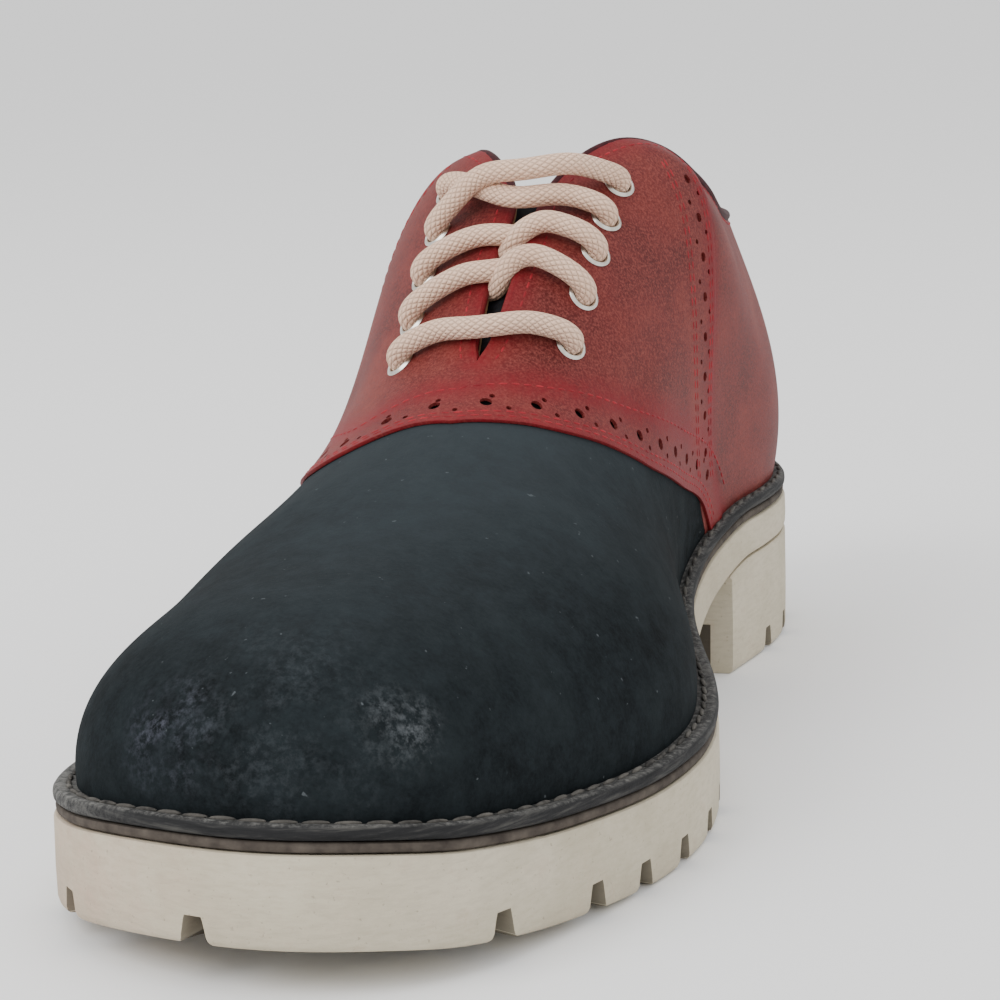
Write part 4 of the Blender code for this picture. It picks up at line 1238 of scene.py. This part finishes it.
class SHOE_OT_sole(bpy.types.Operator):
    """Build the outsole, heel, midsole and stitched welt"""
    bl_idname = "shoe.sole"
    bl_label = "Sole"

    def execute(self, context):
        m = materials()
        bm = bmesh.new()
        slab(bm, (
            (-0.0020, sole_under),
            (-0.0009, lambda y: sole_under(y) + 0.0001),
            (-0.0003, lambda y: sole_under(y) + 0.0006),
            (0.0, lambda y: sole_under(y) + 0.0015),
            (0.0001, lambda y: sole_under(y) + 0.4 * (sole_top(y) - sole_under(y))),
            (0.0, lambda y: sole_top(y) - 0.0008),
            (-0.0003, lambda y: sole_top(y) - 0.0002),
            (-0.0008, sole_top),
        ))
        cutters = [
            slot_cutter("outsole_slots", 0.0, LUGS_ALONG[1], sole_under),
            channel_cutter("outsole_channel"),
            groove_cutter("outsole_grooves"),
        ]
        piece = piece_from(bm, "outsole_rubber", m["moulded_cream_rubber"], cutters=cutters, sharp=35)
        drop(cutters)
        paint_shade_inside(piece, -1, 0.020)
        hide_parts("outsole")

        shares, line, _ = FOOT_LINES[INNER]
        first = float(np.interp(LAST_LENGTH - HEEL_LENGTH, line[:, 1], shares))
        bm = bmesh.new()
        slab(bm, (
            (-0.0020, lambda y: 0 * y),
            (-0.0008, lambda y: 0 * y + 0.0001),
            (-0.0002, lambda y: 0 * y + 0.0007),
            (0.0, lambda y: 0 * y + 0.0016),
            (0.0001, lambda y: 0.5 * sole_under(y)),
            (0.0, lambda y: sole_under(y) - CLEARANCE - 0.0006),
            (-0.0005, lambda y: sole_under(y) - CLEARANCE),
        ), first=first, columns=200)
        front = 1 - (HEEL_LENGTH - 0.012) / LAST_LENGTH
        cutters = [slot_cutter("heel_slots", front, 0.985, lambda y: 0 * y)]
        piece = piece_from(bm, "heel_rubber", m["moulded_cream_rubber"], cutters=cutters, sharp=35)
        drop(cutters)
        paint_shade_inside(piece, 0.0005, 0.010)
        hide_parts("heel")

        bm = bmesh.new()
        slab(bm, (
            (-0.0009, midsole_bottom),
            (-0.0005, lambda y: midsole_bottom(y) + 0.0003),
            (-0.0004, lambda y: midsole_bottom(y) + 0.0010),
            (-0.0005, lambda y: midsole_bottom(y) + 0.0016),
            (-0.0009, lambda y: midsole_bottom(y) + MIDSOLE_THICKNESS),
        ))
        piece = piece_from(bm, "midsole_skin", m["taupe_sole_skin"], sharp=60)
        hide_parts("midsole")

        inside = -(WELT_EXTENSION + UPPER_WALL)
        ring = (
            (inside, welt_bottom),
            (-0.0006, welt_bottom),
            (-0.0001, lambda y: welt_bottom(y) + 0.0004),
            (0.0, lambda y: welt_bottom(y) + 0.0011),
            (-0.0001, lambda y: welt_top(y) - 0.0008),
            (-0.0005, lambda y: welt_top(y) - 0.0002),
            (-0.0012, welt_top),
            (-0.0022, lambda y: welt_top(y) - 0.0001),
            (-0.0030, lambda y: welt_top(y) - 0.0003),
            (inside, lambda y: welt_top(y) - 0.0003),
        )
        bm = bmesh.new()
        stations = station_shares(count=160)

        def place(x, y):
            share = np.interp(np.abs(2 * x - 1), np.linspace(0, 1, 161), stations)
            corner = np.rint(y * len(ring)).astype(int) % len(ring)
            return rim_points(np.where(x < 0.5, OUTER, INNER), share, ring, corner / (len(ring) - 1))

        add_grid(bm, 320, len(ring), place)
        close_layer(bm)
        piece = piece_from(bm, "welt_strip", m["dyed_welt_leather"], sharp=60)
        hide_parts("welt")

        sizes = context.scene.shoe_sizes
        bm = bmesh.new()
        for side in SIDES:
            share = station_shares(count=160)
            base, out = foot(side, share)
            line = base + out * 0.0014
            line = np.concatenate([line, (welt_top(line[:, 1]) - 0.00005)[:, None]], axis=1) - CENTRE
            points, ahead = spaced(line, sizes.welt_stitch)
            for k, (point, along) in enumerate(zip(points, ahead)):
                along = Vector(along)
                across = Vector((0, 0, 1)).cross(along).normalized()
                along = (along + across * 0.10).normalized()
                turn = Matrix((along, Vector((0, 0, 1)).cross(along), (0, 0, 1))).transposed().to_4x4()
                turn.translation = Vector(point)
                # each thread a little thicker or thinner, between 0.85 and 1.15 of its size
                wear = 0.85 + 0.3 * (math.sin(k * 12.9) * 43.7 % 1)
                size = Matrix.Diagonal((sizes.welt_stitch * 0.46, sizes.welt_thread * 0.55,
                                        sizes.welt_thread * 0.5 * wear, 1))
                bmesh.ops.create_uvsphere(bm, u_segments=10, v_segments=6, radius=1, matrix=turn @ size)
        piece = piece_from(bm, "welt_stitches", m["grey_thread"])
        return {"FINISHED"}


class SHOE_OT_inside(bpy.types.Operator):
    """Build the lining, the dark backing under the leather that paints shade into the brogue holes, the
    insole and the tongue
    """
    bl_idname = "shoe.inside"
    bl_label = "Inside"

    def execute(self, context):
        m = materials()
        holes = eyelet_cutter("lining_holes", 0.00285, 20)
        # the backing is a black sheet under the leather: painted shade seen through the brogue holes
        for name, material, layer in (("lining", "tan_lining_leather", LINING_LAYER),
                                      ("hole_shade_backing", "black_twill_and_hole_shade", BACKING_LAYER)):
            bm = bmesh.new()
            for side in SIDES:
                add_panel(bm, side, 200, 40, slit_shares)
            bmesh.ops.remove_doubles(bm, verts=bm.verts, dist=PANEL_JOIN)
            piece = piece_from(bm, name, m[material], layer=layer, cutters=[holes])
        drop([holes])

        rows = (
            (-0.0001, welt_bottom),
            (-0.0001, lambda y: welt_bottom(y) + INSOLE_THICKNESS - 0.0006),
            (-0.0006, lambda y: welt_bottom(y) + INSOLE_THICKNESS),
        )
        bm = bmesh.new()
        edge = UPPER_WALL + 3.5 * CLEARANCE
        flush_slab(bm, [(growth - edge, height) for growth, height in rows])
        piece = piece_from(bm, "footbed", m["tan_lining_leather"], sharp=60)
        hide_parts("insole")

        shares = np.linspace(0.1, 0.95, 400)
        along = section("along", shares)
        # half width of the strip along the slit where the tongue's two sides are averaged
        ridge = 0.0008

        def place(x, y):
            points = np.zeros((len(x), 3))
            for k, (a, b) in enumerate(zip(x, y)):
                at = TONGUE_ALONG[0] + (TONGUE_ALONG[1] - TONGUE_ALONG[0]) * b
                share = float(np.interp(at, along, shares))
                half = TONGUE_HALF_WIDTH - float(section("reach", share)) * COLLAR_REACH
                offset = 2 * a - 1
                side = INNER if offset >= 0 else OUTER
                rise = rise_from_top(side, share, max(abs(offset) * half, ridge))
                base = last_point(side, share, rise)
                normal = last_normal(side, share, rise)
                spot = base - normal * TONGUE_DEPTH
                if abs(offset) * half < ridge:
                    other = last_point(-side, share, rise) - last_normal(-side, share, rise) * TONGUE_DEPTH
                    spot = (spot + other) / 2
                points[k] = spot - CENTRE
            return points

        bm = bmesh.new()
        add_grid(bm, 16, 24, place)
        bmesh.ops.recalc_face_normals(bm, faces=bm.faces)
        if sum(face.normal.z for face in bm.faces) < 0:
            bmesh.ops.reverse_faces(bm, faces=bm.faces)
        piece = piece_from(bm, "tongue_cloth", m["black_twill_and_hole_shade"], (-TONGUE_THICKNESS, 0.0), bevel=0.0006)
        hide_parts("tongue")
        return {"FINISHED"}


def slit_shares(x, rise):
    """Share of the foot line for a column, with a column exactly at the slit's end."""
    return np.where(x < 0.5, x / 0.5 * SLIT_SHARE, SLIT_SHARE + (x - 0.5) / 0.5 * (1 - SLIT_SHARE))


class SHOE_OT_vamp(bpy.types.Operator):
    """Build the plain nubuck vamp"""
    bl_idname = "shoe.vamp"
    bl_label = "Vamp"

    def execute(self, context):
        m = materials()
        bm = bmesh.new()
        for side in SIDES:
            add_panel(bm, side, 130, 90, lambda x, rise: x * (curve_of(SEAM, side, rise) + HEM))
        bmesh.ops.remove_doubles(bm, verts=bm.verts, dist=PANEL_JOIN)
        piece = piece_from(bm, "vamp", m["nubuck_calf"], layer=VAMP_LAYER)
        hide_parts("upper")
        return {"FINISHED"}


class SHOE_OT_saddle(bpy.types.Operator):
    """Build the red saddle with its pierced bands, the quarters, their stitching and the bound edges"""
    bl_idname = "shoe.saddle"
    bl_label = "Saddle and quarters"

    def execute(self, context):
        m = materials()
        sizes = context.scene.shoe_sizes
        skin = Skin()
        seam = seam_line()
        strips = {side: strip_line(side) for side in SIDES}

        cuts = Batches()

        def pierce(edge, towards, pitch, diameter, first, last, shifts):
            """Band along an edge: a row of large holes, and pinholes half a step on at either side."""
            middle, *beside = shifts
            line = skin.beside(edge, sizes.band * middle, towards)
            add_holes(cuts, skin, line, pitch, diameter, first, last)
            for shift in beside:
                line = skin.beside(edge, sizes.band * shift, towards)
                add_holes(cuts, skin, line, pitch, sizes.pinhole, first + pitch / 2, last + pitch / 2, 8)

        pierce(seam, 1, sizes.hole_pitch, sizes.hole, 0.008, 0.008, SEAM_HOLES)
        for side in SIDES:
            pierce(strips[side], side, sizes.hole_pitch * 0.8, sizes.hole * 0.85, 0.018, 0.004, STRIP_HOLES)
        perforations = cutter_from(cuts.finish(), "perforations")
        eyelets = eyelet_cutter("saddle_eyelet_holes", 0.0028, 24)

        bm = bmesh.new()
        columns, slit_column = 80, 22
        for side in SIDES:
            front, back = curve_of(SEAM, side, 1.0), curve_of(STRIP, side, 1.0)
            part = (SLIT_SHARE - front) / (back - front)

            def share_of(x, rise):
                x = np.interp(x, (0, slit_column / columns, 1), (0, part, 1))
                return curve_of(SEAM, side, rise) * (1 - x) + curve_of(STRIP, side, rise) * x

            add_panel(bm, side, columns, 80, share_of)
        bmesh.ops.remove_doubles(bm, verts=bm.verts, dist=PANEL_JOIN)
        piece = piece_from(bm, "saddle", m["waxed_red_leather"], layer=SADDLE_LAYER, bevel=0.00022,
                           cutters=[perforations, eyelets])
        drop([perforations, eyelets])
        edges = [seam, *strips.values(), *(edge_of(side, SLIT_SHARE, 0.72) for side in SIDES)]
        rub_near(piece, [*edges, skin.beside(seam, sizes.band, 1)], 0.0075)
        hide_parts("upper")

        bm = bmesh.new()
        for side in SIDES:
            def share_of(x, rise):
                first = curve_of(STRIP, side, rise) - 0.03
                return first + (1 - first) * x

            add_panel(bm, side, 90, 60, share_of)
        bmesh.ops.remove_doubles(bm, verts=bm.verts, dist=PANEL_JOIN)
        piece = piece_from(bm, "quarters", m["waxed_red_leather"], layer=QUARTER_LAYER)
        rub_near(piece, [*strips.values(), *(edge_of(side, 0.72, 1) for side in SIDES)], 0.006)
        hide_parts("upper")

        threads = Batches()
        top = SADDLE_LAYER[1] - 0.00006

        def sew(edge, distance, towards, start=0.0, end=0.0, lift=top):
            """Row of stitches at a distance from an edge."""
            line = skin.beside(edge, distance, towards)
            length = sizes.stitch * 0.8
            add_stitches(threads, skin, line, sizes.stitch, length, sizes.thread, lift, start, end)

        for distance in (*SEAM_ROWS, sizes.band):
            sew(seam, distance, 1)
        for side in SIDES:
            pair = (sizes.band - STRIP_ROW_GAP / 2, sizes.band + STRIP_ROW_GAP / 2)
            for distance in (*STRIP_ROWS, *pair):
                # a row farther from the edge meets the seam along the vamp later
                sew(strips[side], distance, side, 0.012 + 0.6 * distance, 0.001)
            end = float(curve_of(STRIP, side, 1.0))
            sew(edge_of(side, SLIT_SHARE, FACING_TOP), FACING_ROW, -side, 0.001)
            sew(edge_of(side, FACING_TOP, end), COLLAR_ROW, -side)
            sew(edge_of(side, end, 1.0), COLLAR_ROW, -side, lift=QUARTER_LAYER[1])
        piece = piece_from(threads.finish(), "red_stitching", m["red_thread"])

        bm = bmesh.new()
        for side in SIDES:
            shares = np.linspace(SLIT_SHARE - 0.004, 0.665, 40)
            tube_along(bm, below_edge(side, shares, 0.0009, -0.0001), 0.00105, 14, 0.0010)
        piece = piece_from(bm, "facing_edges", m["waxed_red_leather"])
        rub_near(piece, [edge_of(side, SLIT_SHARE, 0.66) for side in SIDES], 0.02)

        shares = np.linspace(0.655, 1.0, 60)
        inner, outer = (below_edge(side, shares, 0.0007, -0.0002) for side in SIDES)
        bm = bmesh.new()
        tube_along(bm, np.concatenate([inner, outer[-2::-1]]), 0.0012, 14, 0.0014)
        piece = piece_from(bm, "collar_binding", m["edge_paint"])
        return {"FINISHED"}


class SHOE_OT_eyelets(bpy.types.Operator):
    """Build the flanged metal eyelets"""
    bl_idname = "shoe.eyelets"
    bl_label = "Eyelets"

    def execute(self, context):
        m = materials()
        sizes = context.scene.shoe_sizes
        hole, flange = sizes.eyelet_hole / 2, sizes.eyelet / 2
        seat = SADDLE_LAYER[1]
        outline = ((hole, -0.0020), (hole, seat + 0.0002), (hole + 0.00015, seat + 0.00045),
                   (hole + 0.0004, seat + 0.0006), (flange - 0.0003, seat + 0.0004),
                   (flange, seat + 0.0001), (flange - 0.0001, seat - 0.0001),
                   (hole + 0.0003, seat - 0.0001), (hole + 0.0003, -0.0020))
        bm = bmesh.new()
        for point, normal, _ in eyelet_places().values():
            verts = [bm.verts.new((radius, 0, height)) for radius, height in outline]
            edges = [bm.edges.new(pair) for pair in zip(verts, verts[1:] + verts[:1])]
            bmesh.ops.spin(bm, geom=verts + edges, cent=(0, 0, 0), axis=(0, 0, 1), steps=28,
                           angle=2 * math.pi, use_merge=True)
            new = [vert for vert in bm.verts if not vert.tag]
            bmesh.ops.transform(bm, matrix=standing(point, normal), verts=new)
            for vert in new:
                vert.tag = True
        bmesh.ops.remove_doubles(bm, verts=bm.verts, dist=JOIN)
        bmesh.ops.recalc_face_normals(bm, faces=bm.faces)
        piece = piece_from(bm, "eyelet_rings", m["nickel_plate"], sharp=60)
        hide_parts(*[f"eyelet_{name}_{row}" for name in ("inner", "outer") for row in range(1, 6)])
        return {"FINISHED"}


class SHOE_OT_lace(bpy.types.Operator):
    """Lead the braided lace through the eyelets"""
    bl_idname = "shoe.lace"
    bl_label = "Lace"

    def execute(self, context):
        m = materials()
        sizes = context.scene.shoe_sizes
        places = eyelet_places()
        rows = {side: [places[side, row][2] for row in range(EYELET_ROWS)] for side in SIDES}
        pitch = (rows[INNER][-1] - rows[INNER][0]) / (EYELET_ROWS - 1)

        def spot(side, share, part, lift, keep=1.0):
            """Place beside the slit: part 1 at the eyelet, 0 at the slit, lifted off the leather."""
            rise = rise_from_top(side, share, EYELET_FROM_SLIT[side] * part)
            normal = last_normal(side, share, rise)
            return last_point(side, share, rise) + normal * lift - CENTRE, normal, keep

        def middle_of(share, lift, keep=1.0):
            """Place in the middle of the slit."""
            (one, up, _), (other, over, _) = (spot(side, share, 0.0, lift) for side in SIDES)
            return (one + other) / 2, (up + over) / 2, keep

        def level(row, climb):
            return (rows[INNER][row] + rows[OUTER][row]) / 2 + climb * pitch

        def out_of(side, row):
            """From under the leather up through an eyelet."""
            share = rows[side][row]
            return [spot(side, share, 1.0, -0.0016, 0.8), spot(side, share, 1.0, 0.0006),
                    spot(side, share, 0.985, 0.0021)]

        def lead(side, row, middle, steps):
            """From an eyelet over the facing towards the slit; steps give (part, lift, turn)."""
            share = rows[side][row]
            return [spot(side, share + (middle - share) * turn, part, lift) for part, lift, turn in steps]

        def under(side, row, middle):
            """Below the opposite facing from the slit to an eyelet."""
            share = rows[side][row]
            return [spot(side, middle + (share - middle) * turn, part, lift, keep)
                    for part, lift, turn, keep in UNDER_STEPS]

        def strand(side):
            """Half of the lace: from the middle of the bar through its eyelets to the top."""
            route = lead(side, 0, level(0, BAR_LEVEL), BAR_STEPS)[::-1] + out_of(side, 0)[::-1]
            route += [spot(side, rows[side][0] + part * pitch, 1.0, DEEP, 0.4) for part in (0.25, 0.75)]
            for row, here in ((1, side), (2, -side)):
                middle = level(row, CROSS_LEVEL[here])
                part, lift, keep = DIVE[here]
                route += out_of(here, row) + lead(here, row, middle, OVER_STEPS[here])
                route += [middle_of(middle, CROSS_LIFT[here]), spot(-here, middle, part, lift, keep)]
                route += under(-here, row + 1, middle)
            middle = (rows[side][3] + rows[-side][4]) / 2 + TOP_LEVEL[side] * pitch
            route += out_of(side, 3) + lead(side, 3, middle, TOP_STEPS[side])
            route += [middle_of(middle, TOP_LIFT[side])]
            route += lead(-side, 4, middle, TOP_STEPS[side])[::-1] + out_of(-side, 4)[::-1]
            end = rows[-side][4]
            return route + [spot(-side, end, 0.80, DEEP, 0.3), spot(-side, end, 0.45, DEEP, THIN)]

        route = strand(INNER)[::-1] + strand(OUTER)
        points, normals, kept = (np.array(column) for column in zip(*route))
        # the two halves start at one place, which is left in once
        apart = np.concatenate([[True], np.linalg.norm(np.diff(points, axis=0), axis=1) > 0.0006])
        bm = bmesh.new()
        tube_along(bm, points[apart], sizes.lace / 2, 28, 0.0005, squash=(normals[apart], kept[apart]))
        bmesh.ops.recalc_face_normals(bm, faces=bm.faces)
        piece = piece_from(bm, "lace_cord", m["braided_cotton"], sharp=80)
        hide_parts("lace_bar_1", "lace_crossing_2", "lace_crossing_3", "lace_crossing_4")
        return {"FINISHED"}


class SHOE_OT_stage(bpy.types.Operator):
    """Set up the pale floor, the soft lights and the camera at the photograph's angle"""
    bl_idname = "shoe.stage"
    bl_label = "Stage"

    def execute(self, context):
        scene = context.scene
        tree, shader, _ = begin("pale_floor_paint", 0.9)
        shader.inputs["Base Color"].default_value = (*scene.shoe_colours.floor, 1)
        bm = bmesh.new()
        bmesh.ops.create_grid(bm, x_segments=1, y_segments=1, size=40)
        floor = object_from(bm, "floor")
        floor.data.materials.append(bpy.data.materials["pale_floor_paint"])

        world = bpy.data.worlds.new("studio")
        world.use_nodes = True
        background = world.node_tree.nodes["Background"]
        background.inputs[0].default_value = (1, 1, 1, 1)
        background.inputs[1].default_value = WORLD_STRENGTH
        scene.world = world
        for name, place, size, power in LAMPS:
            light = bpy.data.lights.new(name, "AREA")
            light.shape = "SQUARE"
            light.size = size
            light.energy = power
            lamp = bpy.data.objects.new(name, light)
            lamp.location = place
            lamp.rotation_euler = (Vector((0, 0, 0.05)) - Vector(place)).to_track_quat("-Z", "Y").to_euler()
            scene.collection.objects.link(lamp)

        camera = bpy.data.cameras.new("camera")
        camera.sensor_width = SENSOR
        camera.lens = SENSOR * FOCAL
        eye = Vector(EYE) - Vector(CENTRE)
        ahead = (Vector(TARGET) - eye).normalized()
        across = ahead.cross(Vector((0, 0, 1))).normalized()
        up = across.cross(ahead)
        level = math.cos(ROLL) * across + math.sin(ROLL) * up
        lifted = math.cos(ROLL) * up - math.sin(ROLL) * across
        view = Matrix((level, lifted, -ahead)).transposed().to_4x4()
        view.translation = eye
        rig = bpy.data.objects.new("camera", camera)
        rig.matrix_world = view
        scene.collection.objects.link(rig)
        scene.camera = rig
        return {"FINISHED"}


class SHOE_PT_pieces(bpy.types.Panel):
    """Lists the shoe's pieces and sizes"""
    bl_idname = "SHOE_PT_pieces"
    bl_label = "Saddle shoe"
    bl_space_type = "VIEW_3D"
    bl_region_type = "UI"
    bl_category = "Shoe"

    def draw(self, context):
        for group in (context.scene.shoe_sizes, context.scene.shoe_colours):
            for name in group.__annotations__:
                self.layout.prop(group, name)
        for operator in OPERATORS:
            self.layout.operator(operator.bl_idname)


OPERATORS = (SHOE_OT_sole, SHOE_OT_inside, SHOE_OT_vamp, SHOE_OT_saddle, SHOE_OT_eyelets, SHOE_OT_lace,
             SHOE_OT_stage)
CLASSES = (ShoeSizes, ShoeColours, *OPERATORS, SHOE_PT_pieces)


def register():
    for cls in CLASSES:
        bpy.utils.register_class(cls)
    bpy.types.Scene.shoe_sizes = PointerProperty(type=ShoeSizes)
    bpy.types.Scene.shoe_colours = PointerProperty(type=ShoeColours)


def unregister():
    del bpy.types.Scene.shoe_sizes
    del bpy.types.Scene.shoe_colours
    for cls in reversed(CLASSES):
        bpy.utils.unregister_class(cls)


def main():
    register()
    bpy.ops.shoe.sole()
    bpy.ops.shoe.inside()
    bpy.ops.shoe.vamp()
    bpy.ops.shoe.saddle()
    bpy.ops.shoe.eyelets()
    bpy.ops.shoe.lace()
    bpy.ops.shoe.stage()


if __name__ == "__main__":
    main()
